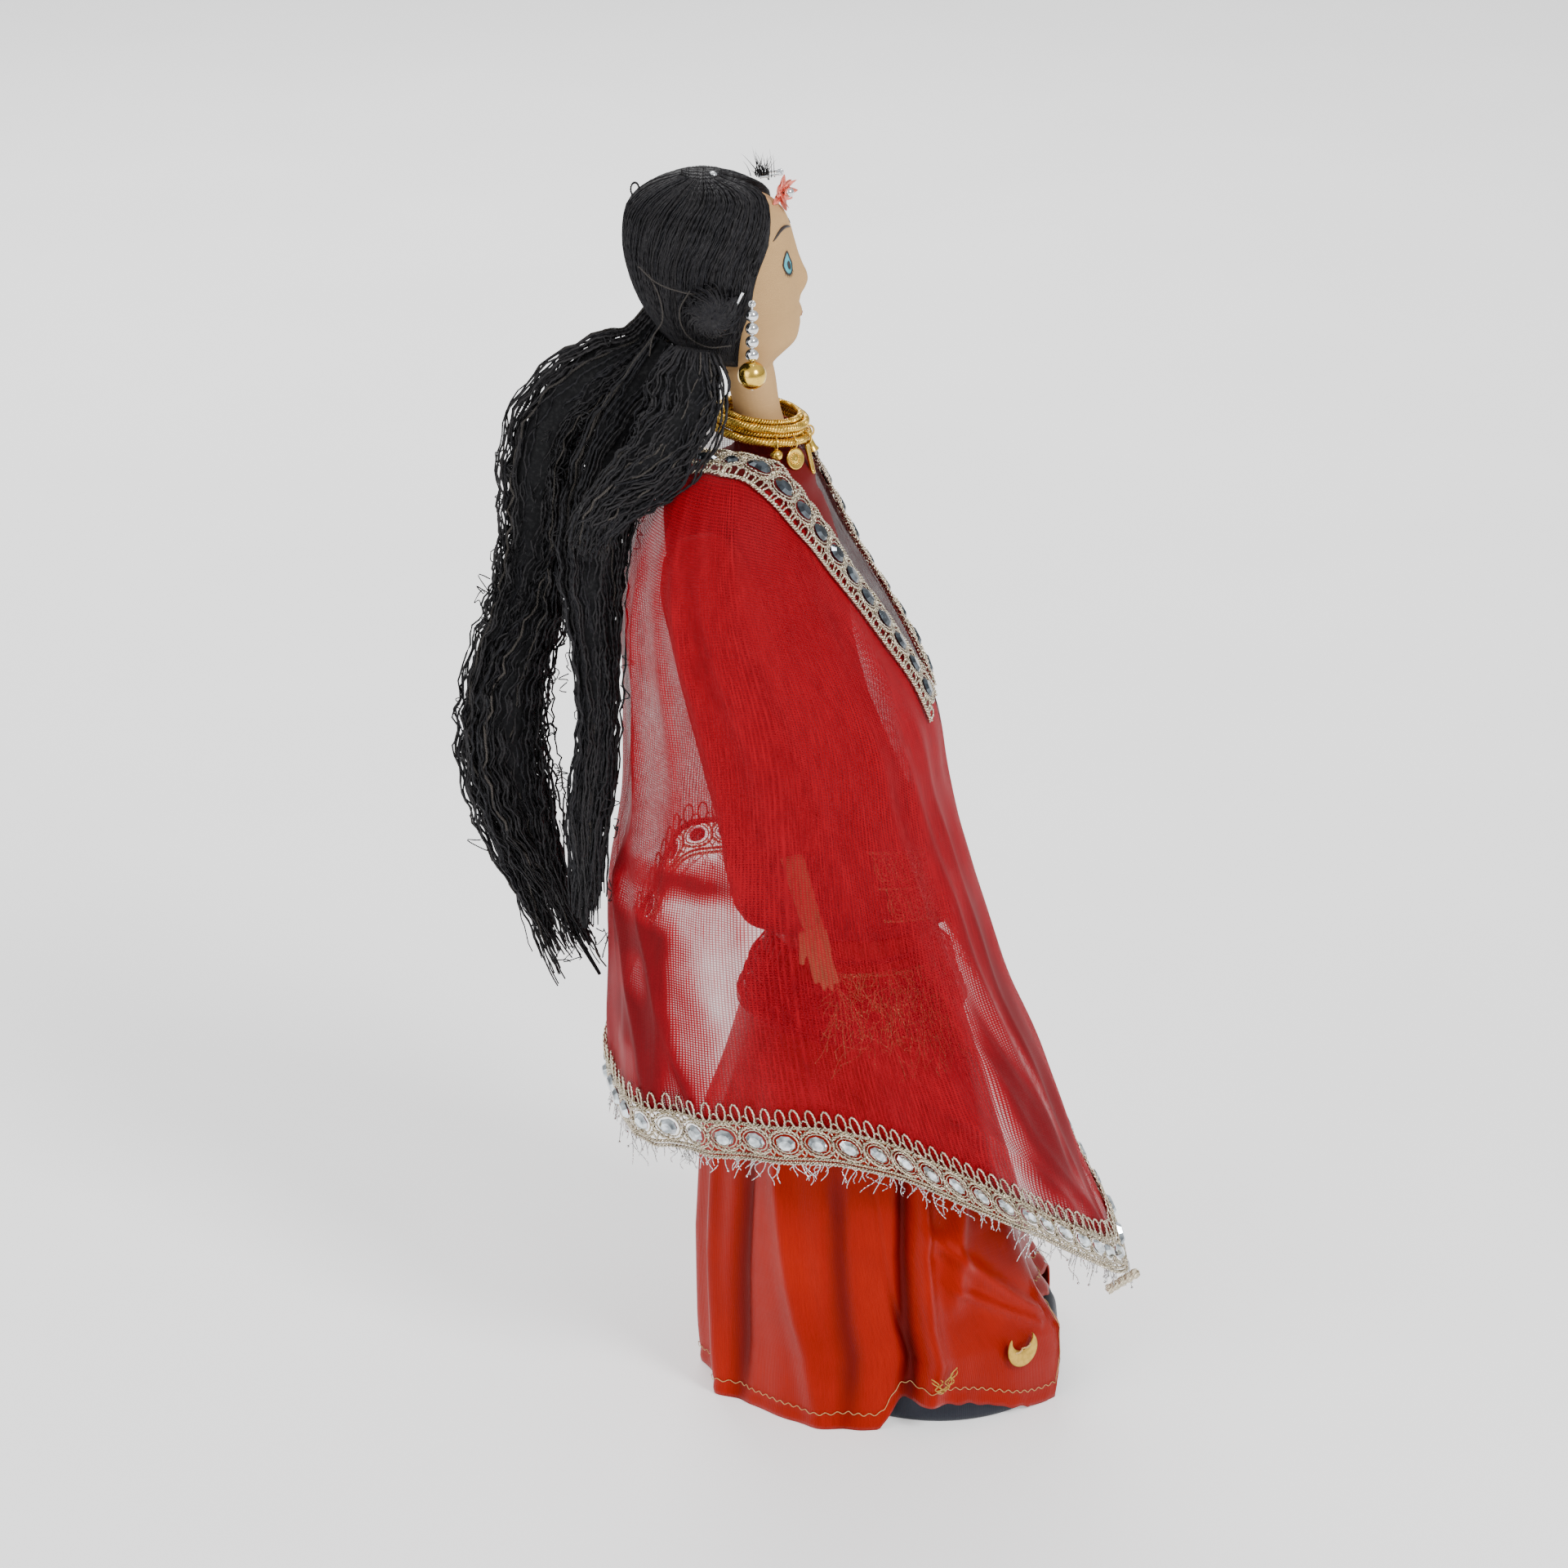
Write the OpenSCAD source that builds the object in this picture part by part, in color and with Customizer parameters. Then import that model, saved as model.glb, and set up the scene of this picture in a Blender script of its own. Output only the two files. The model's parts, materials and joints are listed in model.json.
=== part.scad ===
// Standing cloth doll in a laced veil, on a round stand. It faces +X and its left hand is at +Y.
// All sizes are in millimetres. The origin is the centre of the stand's underside.

/* [Stand] */
// Diameter of the stand at the floor
base_d = 80; // [68:1:98]
// Height of the stand
base_h = 24; // [16:1:30]
// How much narrower the stand is at its top
base_taper = 3; // [0:0.5:8]
// Rounding of the stand's top edge
base_round = 4; // [2:0.5:7]
// Diameter of the dowel that holds the doll up
dowel_d = 8; // [6:0.5:10]
// How far the dowel leans back, in degrees
lean = 10; // [6:0.5:12]
// Gap round the dowel where it is glued
glue_gap = 0.05; // [0.02:0.01:0.1]

/* [Body] */
// Height of the waist above the floor
waist_z = 166; // [135:1:200]
// Length of the torso from the waist to the neck
torso_h = 143; // [118:1:172]
// Depth of the chest
chest_depth = 50; // [42:1:54]
// Width of the chest
chest_width = 54; // [44:1:60]
// How far the chest sits behind the dowel
chest_back = 9; // [4:0.5:11]
// Length of the neck that shows
neck_h = 27; // [20:1:34]
// Diameter of the neck
neck_d = 14; // [12:0.5:16]

/* [Head] */
// Height of the head from the chin to the crown
head_h = 54; // [46:1:68]
// Depth of the head from the forehead to the back
head_depth = 44; // [36:1:50]
// Width of the head
head_width = 35; // [29:1:42]
// How far the nose stands out
nose_out = 2.6; // [1.5:0.1:3.5]
// Thickness of the hair at the back of the head
hair_back_t = 7; // [4:0.5:9]
// Thickness of the hair at the sides
hair_side_t = 4.6; // [3:0.2:6]
// Thickness of the hair on the crown
hair_top_t = 2.8; // [2:0.2:4]
// Diameter of a side bun
bun_d = 13; // [10:0.5:16]

/* [Clothes] */
// Thickness of the cloth
cloth_t = 1; // [0.8:0.1:1.6]
// Room between the blouse and the torso
blouse_room = 0.6; // [0.3:0.1:1.5]
// How much wider the blouse's tail is than the waist, front to back
blouse_flare = 14; // [6:1:16]
// Length of the blouse below the waist
blouse_tail = 6; // [2:1:12]
// Depth of the skirt at the waist
skirt_top_depth = 52; // [46:1:60]
// Width of the skirt at the waist
skirt_top_width = 58; // [54:1:66]
// How far the skirt's hem reaches behind the stand
hem_behind = 33; // [20:1:40]
// Room between the hem and the stand at the sides and the front
hem_room = 1.2; // [0.6:0.1:4]
// Depth of the skirt's folds at the hem
fold_depth = 1; // [0.4:0.1:1.6]
// How far the hem is lifted at the side seam
hem_lift = 10; // [4:1:16]
// Width of the veil at the arms
veil_width = 108; // [100:1:120]
// Height of the veil's hem at the back
veil_back_z = 111; // [90:1:120]
// Height of the veil's hem over the left arm
veil_far_z = 166; // [120:2:176]
// Height of the veil's hem at the front
veil_front_z = 44; // [36:1:60]
// Width of the lace
lace_w = 15; // [10:0.5:18]
// Thickness of the lace
lace_t = 1.2; // [0.8:0.1:2]

/* [Arms] */
// Length of an arm from the shoulder to the fingertips
arm_l = 144; // [118:1:172]
// How far the arms hang forward, in degrees
arm_tilt = 13; // [10:1:17]
// Length of a sleeve
sleeve_l = 98; // [80:1:116]
// Width of a sleeve at the cuff
cuff_w = 31; // [24:1:34]
// Thickness of a sleeve
sleeve_t = 12; // [10:0.5:13]
// Thickness of a hand
hand_t = 4; // [3:0.5:6]
// Room between the chest and a sleeve
arm_room = 2.5; // [1.5:0.5:5]

/* [Jewellery] */
// Diameter of a silver bead
silver_d = 3.9; // [3:0.1:4.2]
// Diameter of a gold bead
gold_d = 8.4; // [7:0.2:10]
// Diameter of the earring's wire
wire_d = 0.7; // [0.5:0.1:0.8]
// Running gap of the earring's eye on its pin
eye_gap = 0.05; // [0.02:0.01:0.1]
// Diameter of one choker rope
rope_d = 2.6; // [2:0.1:3.4]
// Diameter of the choker's upper ring, along the rope's middle
choker_d = 26.6; // [24:0.2:30]
// Diameter of the forehead star
star_d = 11; // [8:0.5:14]
// Diameter of the sequin on the skirt
sequin_d = 12; // [8:0.5:15]

/* [Hair] */
// Width of the long rear tress
rear_tress_w = 25; // [20:1:30]
// Width of the straight inner tress
inner_tress_w = 16; // [12:1:18]
// Width of the side tress
side_tress_w = 24; // [18:1:26]

/* [Hidden] */
$fn = 48;
gap = 0.4;
skin_gap = 0.3;

// Places that follow from the sizes
shoulder_z = waist_z + torso_h;         // top of the torso
chin_z = shoulder_z + neck_h;           // underside of the chin
crown_z = chin_z + head_h;              // top of the head without hair
hip_z = waist_z - 16;                   // lower end of the torso
hem_front = base_d / 2 + hem_room;      // inside of the hem in front of the stand
hem_back = base_d / 2 + hem_behind;
hem_side = base_d / 2 + hem_room + 2 * fold_depth + 1.5;
arm_y = chest_width / 2 + arm_room + sleeve_t / 2;  // middle of an arm
arm_z = shoulder_z - 21;                // height of the shoulder seam
arm_x = axis_x(arm_z) - 22;
ear_z = chin_z + 0.44 * head_h;         // the earring's pin
ear_x = axis_x(ear_z) + 5.5;
ear_y = head_width / 2 + 4;             // middle of the earring
choker_z = shoulder_z + 10;

function axis_x(z) = -z * tan(lean);
function turn(a) = abs(a > 180 ? a - 360 : a);
function ease(t) = let (u = min(1, max(0, t))) u * u * (3 - 2 * u);
function mix(a, b, t) = a + (b - a) * t;

// Sum of a list, and the signed volume inside a closed skin of triangles
function total(list) = list * [for (v = list) 1];
function inside(p, f) = total([for (t = f) p[t[0]] * cross(p[t[1]], p[t[2]])]);

// Closed skin of triangles, turned the right way out
module closed(p, f) {
    out = inside(p, f) < 0;
    polyhedron(p, out ? f : [for (t = f) [t[2], t[1], t[0]]]);
}

function wall_faces(n, m, rows) = [for (i = [0 : rows - 1], j = [0 : m - 1])
    let (a = i * m + j, b = i * m + (j + 1) % m, c = ((i + 1) % n) * m + (j + 1) % m,
        d = ((i + 1) % n) * m + j)
    each [[a, d, c], [a, c, b]]];

// Solid through a row of convex rings, with flat ends
module loft(rings) {
    n = len(rings);
    m = len(rings[0]);
    last = (n - 1) * m;
    ends = [for (j = [1 : m - 2]) each [[0, j, j + 1], [last, last + j + 1, last + j]]];
    closed([for (r = rings) each r], concat(wall_faces(n, m, n - 1), ends));
}

// Thin-walled tube: the outer rings, then the inner rings on the way back
module shell(outer, inner) {
    n = len(outer);
    m = len(outer[0]);
    rings = concat(outer, [for (i = [n - 1 : -1 : 0]) inner[i]]);
    closed([for (r = rings) each r], wall_faces(2 * n, m, 2 * n));
}

// Curved strip: each row goes out along the outside and back along the inside
module strip(outer, inner) {
    n = len(outer);
    k = len(outer[0]);
    m = 2 * k;
    last = (n - 1) * m;
    rings = [for (i = [0 : n - 1]) concat(outer[i], [for (j = [k - 1 : -1 : 0]) inner[i][j]])];
    ends = [for (j = [0 : k - 2]) let (a = j, b = j + 1, c = m - 2 - j, d = m - 1 - j)
        each [[a, b, c], [a, c, d], [last + a, last + c, last + b], [last + a, last + d, last + c]]];
    closed([for (r = rings) each r], concat(wall_faces(n, m, n - 1), ends));
}

function oval(x, y, z, rx, ry, n) = [for (i = [0 : n - 1]) let (a = 360 * i / n)
    [x + rx * cos(a), y + ry * sin(a), z]];

// Stand
module base_disc() {
    r = base_d / 2;
    top_r = r - base_taper / 2;
    color([0.11, 0.12, 0.14])
    difference() {
        rotate_extrude($fn = 96) union() {
            polygon([[0, 0], [r - 1, 0], [r, 1], [top_r + base_taper * base_round / base_h / 2,
                base_h - base_round], [top_r - base_round, base_h - base_round],
                [top_r - base_round, base_h], [0, base_h]]);
            intersection() {
                translate([top_r - base_round, base_h - base_round]) circle(base_round);
                translate([top_r - base_round - 0.5, base_h - base_round]) square(base_round + 1);
            }
        }
        rotate([0, -lean, 0]) translate([0, 0, 5])
            cylinder(h = base_h + 10, r = dowel_d / 2 + glue_gap);
    }
}

dowel_top = (chin_z + 10) / cos(lean);
module stand_dowel() {
    color([0.78, 0.62, 0.42]) rotate([0, -lean, 0]) translate([0, 0, 5.2])
        cylinder(h = dowel_top - 5.2, r = dowel_d / 2);
}

module dowel_hole(z1, z2) {
    rotate([0, -lean, 0]) translate([0, 0, z1 / cos(lean)])
        cylinder(h = (z2 - z1) / cos(lean), r = dowel_d / 2 + glue_gap);
}

// Torso: half depth and half width, as shares of the chest's, up from the hips to the neck
torso_half = [[0, 0.55, 0.62], [0.06, 0.72, 0.8], [0.15, 0.76, 0.82], [0.32, 0.62, 0.68],
    [0.5, 0.72, 0.76], [0.68, 0.94, 0.92], [0.8, 1, 1], [0.9, 0.92, 0.98], [0.96, 0.66, 0.82],
    [0.99, 0.42, 0.5], [1, 0.36, 0.36]];
function torso_u(z) = (z - hip_z) / (shoulder_z - hip_z);
function torso_rx(u) = chest_depth / 2 * lookup(u, [for (t = torso_half) [t[0], t[1]]]);
function torso_ry(u) = chest_width / 2 * lookup(u, [for (t = torso_half) [t[0], t[2]]]);
function torso_x(z) = axis_x(z) - chest_back * ease(torso_u(z) * 1.5 - 0.2)
    * (1 - ease((torso_u(z) - 0.9) * 10));
function torso_ring(z, extra, n = 40) = oval(torso_x(z), 0, z, torso_rx(torso_u(z)) + extra,
    torso_ry(torso_u(z)) + extra, n);

module torso() {
    color([0.86, 0.74, 0.6])
    difference() {
        loft([for (t = torso_half) torso_ring(mix(hip_z, shoulder_z, t[0]), 0)]);
        dowel_hole(hip_z - 5, shoulder_z + 5);
    }
}

blouse_low = waist_z - blouse_tail;
blouse_steps = 14;
blouse_top = 0.9;                       // where the blouse ends on the torso, as a share of its height
function blouse_ring(z, extra) = let (u = torso_u(z), loose = ease((0.7 - u) / 0.55))
    oval(torso_x(z) - 2 * loose, 0, z, torso_rx(u) + blouse_room + blouse_flare * loose + extra,
        torso_ry(u) + blouse_room + blouse_flare * 0.36 * loose + extra, 40);
module blouse() {
    high = mix(hip_z, shoulder_z, blouse_top);
    zs = [for (i = [0 : blouse_steps]) mix(blouse_low, high, i / blouse_steps)];
    color([0.78, 0.07, 0.1]) shell([for (z = zs) blouse_ring(z, cloth_t)],
        [for (z = zs) blouse_ring(z, 0)]);
}

// Padded roll between the torso and the gathered top of the skirt
waistband_h = 7;
module waistband() {
    z = skirt_top_z + gap;
    zs = [z, z + 1.5, z + waistband_h - 1.5, z + waistband_h];
    inset = [1.2, 0, 0, 1.2];
    color([0.72, 0.1, 0.1]) shell(
        [for (i = [0 : 3]) oval(torso_x(skirt_top_z), 0, zs[i], skirt_top_depth / 2 - inset[i],
            skirt_top_width / 2 - inset[i], 40)],
        [for (h = zs) torso_ring(h, skin_gap)]);
}

// Skirt: a gathered tube from under the waistband to the floor
skirt_top_z = blouse_low - gap - waistband_h - gap;
skirt_n = 60;
skirt_steps = 12;
// The hem is cut up over the stand in front and lifted at the side seam
function hem_z(a) = let (front = turn(a))
    front < 24 ? base_h + 1.5 : front < 30 ? mix(base_h + 1.5, 2, ease((front - 24) / 6))
    : a > 180 ? hem_lift * ease((a - 265) / 8) * (1 - ease((a - 280) / 45)) + 0.2 : 0.2;
// In front the cloth is drawn in over the stand's rim
function draw_in(a, z) = 7 * ease((base_h + 36 - z) / 30) * (1 - ease((turn(a) - 14) / 11));
function skirt_fold(a, t) = fold_depth * t * (sin(a * 9 + 20) + 0.6 * sin(a * 14 + 70));
// Share of the way out to the hem, against the share of the way down, behind and in front
skirt_back = [[0, 0], [0.12, 0.36], [0.375, 0.92], [0.68, 1.03], [1, 1]];
skirt_front = [[0, 0], [0.3, 0.3], [0.6, 0.58], [0.76, 0.8], [0.84, 0.97], [0.9, 1], [1, 1]];
function skirt_point(a, z, extra) = let (t = (skirt_top_z - z) / (skirt_top_z - 0.2),
        s = lookup(t, skirt_back), top_x = torso_x(skirt_top_z),
        back = mix(skirt_top_depth / 2 - top_x, hem_back, s),
        front = mix(skirt_top_depth / 2 + top_x, hem_front + cloth_t + 2 * fold_depth,
            lookup(t, skirt_front)),
        x0 = (front - back) / 2, rx = (front + back) / 2 + extra,
        ry = mix(skirt_top_width / 2, hem_side + cloth_t, min(1, s)) + extra,
        f = skirt_fold(a, ease(t)) - draw_in(a, z))
    [x0 + (rx + f) * cos(a), (ry + f) * sin(a), z];
function skirt_ring(i, extra) = [for (j = [0 : skirt_n - 1]) let (a = 360 * j / skirt_n)
    skirt_point(a, mix(skirt_top_z, hem_z(a), i / skirt_steps), extra)];
module skirt() {
    color([0.85, 0.19, 0.1]) shell([for (i = [0 : skirt_steps]) skirt_ring(i, 0)],
        [for (i = [0 : skirt_steps]) skirt_ring(i, -cloth_t)]);
}

// Sash under the veil, knotted round the top of the skirt
sash_h = 16;
sash_n = 48;
sash_room = 0.6;
module waist_sash() {
    low = skirt_top_z - 6 - sash_h;
    zs = [for (i = [0 : 3]) low + sash_h * i / 3];
    lift = sash_room + 0.36 * fold_depth;
    color([0.8, 0.1, 0.12]) shell(
        [for (z = zs) [for (j = [0 : sash_n - 1]) skirt_point(360 * j / sash_n, z, lift + cloth_t)]],
        [for (z = zs) [for (j = [0 : sash_n - 1]) skirt_point(360 * j / sash_n, z, lift)]]);
}

// Veil: a cape over both shoulders. Columns: share of its height, back and front reach
// from the dowel, half width as a share of veil_width / 2
veil_form = [[0, 60, 66, 0.94], [0.08, 68, 62, 0.97], [0.16, 78, 57, 1.02], [0.28, 83, 51, 1.05],
    [0.4, 77, 43, 1.03], [0.5, 71, 40, 1], [0.62, 60, 37, 0.98], [0.7, 56, 37.5, 0.97],
    [0.75, 54, 35, 0.97], [0.8, 52, 30, 0.97], [0.87, 47, 22, 0.95], [0.93, 40, 17, 0.87],
    [0.97, 33, 14, 0.72], [1, 26, 11, 0.54]];
veil_top_z = shoulder_z + 3;
veil_low_z = 28;
neck_drop = 92;                         // how far the neckline falls in front
neck_spread = 22;                       // angle over which it falls
veil_n = 60;
veil_steps = 14;
function veil_col(z, c) = lookup((z - veil_low_z) / (veil_top_z - veil_low_z),
    [for (t = veil_form) [t[0], t[c]]]);
function veil_wave(a, z) = let (t = min(1, max(0, (veil_top_z - 30 - z) / 160)))
    t * (0.9 * sin(a * 7 + 30) + 0.5 * sin(a * 12 + z / 3));
// The back is squarer than an ellipse
function round_off(v, a) = turn(a) > 90 ? sign(v) * pow(abs(v), 0.75) : v;
function veil_point(a, z, extra) = let (back = veil_col(z, 1), front = veil_col(z, 2),
        x0 = axis_x(z) + (front - back) / 2, rx = (front + back) / 2 + extra + veil_wave(a, z),
        ry = veil_width / 2 * veil_col(z, 3) + extra + veil_wave(a, z))
    [x0 + rx * round_off(cos(a), a), ry * round_off(sin(a), a), z];
// The hem runs from the low front corner to the back, and rises over the left arm
function veil_hem(a) = a > 180 ? mix(veil_front_z, veil_back_z, ease((turn(a) + 4) / 100))
    : a < 90 ? mix(veil_front_z, veil_far_z, ease((a + 3) / 62))
    : mix(veil_far_z, veil_back_z, ease((a - 115) / 62));
function veil_neck(a) = veil_top_z - 1 - neck_drop * exp(-turn(a) / neck_spread);
function veil_ring(i, extra) = [for (j = [0 : veil_n - 1]) let (a = 360 * j / veil_n)
    veil_point(a, mix(veil_neck(a), veil_hem(a), i / veil_steps), extra)];
module veil() {
    color([0.75, 0.08, 0.14, 0.6]) shell([for (i = [0 : veil_steps]) veil_ring(i, 0)],
        [for (i = [0 : veil_steps]) veil_ring(i, -cloth_t * 0.8)]);
}

// Lace along the neckline: each row runs over the cloth, square to the edge
band_k = 4;
function unit(v) = v / norm(v);
function whole(a) = (a + 720) % 360;
function cloth(a, z) = veil_point(whole(a), z, 0);
function outward(a, z) = unit(cross(cloth(a, z - 1) - cloth(a, z + 1), cloth(a + 1, z) - cloth(a - 1, z)));
function band_row(a, extra) = let (z = veil_neck(whole(a)),
        slope = (veil_neck(whole(a + 1)) - veil_neck(whole(a - 1))) / 2,
        e1 = (cloth(a + 1, z) - cloth(a - 1, z)) / 2, e2 = cloth(a, z - 1) - cloth(a, z),
        run = e1 - slope * e2, turn_rate = e2 * run, drop_rate = -(e1 * run),
        step = norm(turn_rate * e1 + drop_rate * e2),
        side = slope * turn_rate + drop_rate > 0 ? 1 / step : -1 / step)
    [for (j = [0 : band_k]) let (s = side * lace_w * j / band_k, b = a + turn_rate * s,
        y = z - drop_rate * s)
        cloth(b, y) + outward(b, y) * extra];
band_steps = 34;
module neck_band(from, to) {
    as = [for (i = [0 : band_steps]) mix(from, to, i / band_steps)];
    color([0.74, 0.71, 0.66]) strip([for (a = as) band_row(a, 0.6 + lace_t)],
        [for (a = as) band_row(a, 0.6)]);
}
module upper_lace_right() { neck_band(-172, -7); }
module upper_lace_left() { neck_band(7, 172); }

// Lace along the veil's hem
function hem_row(a, s, extra) = veil_point(a, veil_hem(a) + 2 - s, extra);
module lower_lace() {
    as = [for (j = [0 : veil_n - 1]) 360 * j / veil_n];
    rows = [for (k = [0 : band_k]) lace_w * k / band_k];
    color([0.74, 0.71, 0.66]) shell([for (s = rows) [for (a = as) hem_row(a, s, 0.3 + lace_t)]],
        [for (s = rows) [for (a = as) hem_row(a, s, 0.3)]]);
}

// Rolled end of the hem lace, at the front corner
lace_roll_r = 1.6;
lace_roll_l = 12;
module lace_end() {
    p = veil_point(346, veil_front_z - 8, lace_t + 0.6 + lace_roll_r);
    color([0.74, 0.71, 0.66]) translate(p) rotate([0, 56, 0])
        cylinder(h = lace_roll_l, r = lace_roll_r, center = true);
}

// Head: height share, front and back reach from the dowel and half width, as shares
head_form = [[0, 0.17, 0.2, 0.5], [0.05, 0.25, 0.3, 0.66], [0.11, 0.33, 0.39, 0.77],
    [0.19, 0.355, 0.47, 0.86], [0.28, 0.365, 0.54, 0.92], [0.38, 0.375, 0.59, 0.97],
    [0.5, 0.38, 0.62, 1], [0.6, 0.38, 0.63, 1], [0.7, 0.375, 0.62, 0.98], [0.78, 0.36, 0.6, 0.93],
    [0.86, 0.32, 0.55, 0.83], [0.92, 0.25, 0.47, 0.69], [0.965, 0.14, 0.36, 0.49],
    [1, -0.02, 0.2, 0.22]];
head_n = 48;
face_forward = 2.6;                     // how far the head sits in front of the dowel
function head_col(u, c) = lookup(u, [for (t = head_form) [t[0], t[c]]]);
function nose(u, a) = nose_out * exp(-pow((u - 0.42) / 0.07, 2)) * exp(-pow(turn(a) / 11, 2));
// A point on the head at height share u and angle a, moved out by the three thicknesses
function head_point(u, a, back_t, side_t, up) = let (z = chin_z + head_h * u,
        front = head_depth * head_col(u, 1) + back_t * 0.5 * (1 - cos(turn(a) / 2)),
        back = head_depth * head_col(u, 2) + back_t,
        x0 = axis_x(z) + face_forward + (front - back) / 2, rx = (front + back) / 2,
        ry = head_width / 2 * head_col(u, 3) + side_t)
    [x0 + (rx + nose(u, a)) * cos(a), ry * sin(a), z + up];
module head() {
    neck_r = neck_d / 2;
    low = shoulder_z + 0.4;
    neck = [for (i = [0 : 3]) let (z = mix(low, chin_z - 1.5, i / 3))
        oval(axis_x(z), 0, z, neck_r, neck_r + 0.6, head_n)];
    form = [for (t = head_form) [for (j = [0 : head_n - 1])
        head_point(t[0], 360 * j / head_n, 0, 0, 0)]];
    color([0.89, 0.76, 0.61])
    difference() {
        loft(concat(neck, form));
        dowel_hole(low - 5, chin_z + 10.4);
    }
}

// Hair cap: open towards the face, from the nape to the crown
cap_open = [[0.1, 96], [0.26, 82], [0.42, 68], [0.56, 60], [0.72, 44], [0.84, 30], [0.93, 14],
    [1, 5]];
cap_k = 36;
cap_us = [0.16, 0.24, 0.33, 0.43, 0.53, 0.63, 0.73, 0.82, 0.89, 0.945, 0.985, 1];
cap_room = 0.9;                         // room between the head and the hair
crown_ks = [0.7, 0.4, 0.1];             // rows that close the crown, as shares of its width
function cap_row(u, back_t, side_t, up, k = 1) = let (open = lookup(u, cap_open),
        mid = (head_point(u, 0, back_t, side_t, 0) + head_point(u, 180, back_t, side_t, 0)) / 2)
    [for (j = [0 : cap_k]) let (a = mix(open, 360 - open, j / cap_k),
        p = head_point(u, a, back_t, side_t, up))
        [mix(mid[0], p[0], k), p[1] * k, p[2] + (1 - k * k) * 1.2]];
module hair_cap() {
    outer = [for (u = cap_us) cap_row(u, hair_back_t * (1 - 0.5 * u * u), hair_side_t,
        hair_top_t * ease(u * 2))];
    crown = [for (k = crown_ks) cap_row(1, hair_back_t * 0.5, hair_side_t, hair_top_t, k)];
    inner = [for (u = cap_us) cap_row(u, cap_room, cap_room, cap_room)];
    under = [for (k = crown_ks) cap_row(1, cap_room, cap_room, cap_room, k)];
    color([0.1, 0.1, 0.13]) strip(concat(outer, crown), concat(inner, under));
}

// Side buns, each a round cushion with a cord round it
bun_u = 0.4;
bun_half = 3.6;
module at_bun(side) {
    z = chin_z + head_h * bun_u;
    y = head_width / 2 * head_col(bun_u, 3) + hair_side_t + bun_half + skin_gap;
    translate([axis_x(z) - 6.5, side * y, z]) rotate([90, 0, 0]) children();
}
module bun(side) {
    color([0.11, 0.11, 0.14]) at_bun(side) rotate_extrude()
        intersection() {
            resize([bun_d - 1.4, 2 * bun_half]) circle(10);
            translate([0, -10]) square([20, 20]);
        }
}
module bun_right() { bun(-1); }
module bun_left() { bun(1); }
module bun_cord(side) {
    color([0.08, 0.08, 0.1]) at_bun(side) rotate_extrude() translate([bun_d / 2 + 0.3, 0]) circle(0.6);
}
module bun_cord_right() { bun_cord(-1); }
module bun_cord_left() { bun_cord(1); }

module hair_pin() {
    z = chin_z + head_h * 0.47;
    color([0.8, 0.8, 0.8]) translate([axis_x(z) + 2, -head_width / 2 - hair_side_t - 0.7, z])
        rotate([0, 28, 0]) cylinder(h = 5, r = 0.5, center = true);
}

module hanging_loop() {
    p = head_point(0.9, 180, hair_back_t * 0.6, 0, hair_top_t);
    color([0.1, 0.1, 0.12]) translate([p[0] - 2, 0, p[2] + 1.6]) rotate([90, 0, 0])
        rotate_extrude() translate([2.4, 0]) circle(0.5);
}

// Forehead ornament: a star that hangs from a hook at the parting
tikka_z = crown_z + hair_top_t + 0.6;
tikka_x = axis_x(crown_z) + 19;
star_r = star_d / 2;
// The hook is a staple: a pin across, and two legs back into the hair
module tikka_hook() {
    color([0.75, 0.7, 0.6]) translate([tikka_x, 0, tikka_z]) {
        rotate([90, 0, 0]) cylinder(h = 5, r = 0.35, center = true);
        for (side = [-1, 1]) translate([0, side * 2.15, 0]) rotate([0, -100, 0])
            cylinder(h = 6, r = 0.35);
    }
}
module tikka_star() {
    color([0.9, 0.58, 0.52]) translate([tikka_x, 0, tikka_z]) {
        rotate([90, 0, 0]) rotate_extrude() translate([0.75, 0]) circle(0.35);
        translate([0.75, 0, -star_r - 0.6]) rotate([90, 0, 90])
            linear_extrude(0.8, center = true) polygon([for (i = [0 : 11]) let (a = 30 * i + 90,
                r = i % 2 == 0 ? star_r : star_r * 0.45) [r * cos(a), r * sin(a)]]);
    }
}
module tikka_bead() {
    color([0.8, 0.8, 0.8]) translate([tikka_x + 0.75 + 0.4 + 1.5, 0, tikka_z - star_r - 0.6])
        sphere(1.5);
}

// Choker: two ropes round the neck, lower in front, with charms on the lower one
choker_tilt = 7;
ring_wire_r = 0.3;                      // wire of a charm's ring
ring_room = 0.3;                        // room between a rope and a ring
lower_drop = rope_d + 2 * ring_wire_r + 2 * ring_room + 0.1;
lower_d = choker_d + 1.6;
module at_choker(drop) {
    translate([axis_x(choker_z) + 0.8, 0, choker_z - drop]) rotate([0, choker_tilt, 0]) children();
}
module choker_rope(d, drop) {
    color([0.79, 0.63, 0.15]) at_choker(drop) rotate_extrude($fn = 72) translate([d / 2, 0])
        circle(rope_d / 2, $fn = 24);
}
module choker_upper() { choker_rope(choker_d, 0); }
module choker_lower() { choker_rope(lower_d, lower_drop); }

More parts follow.
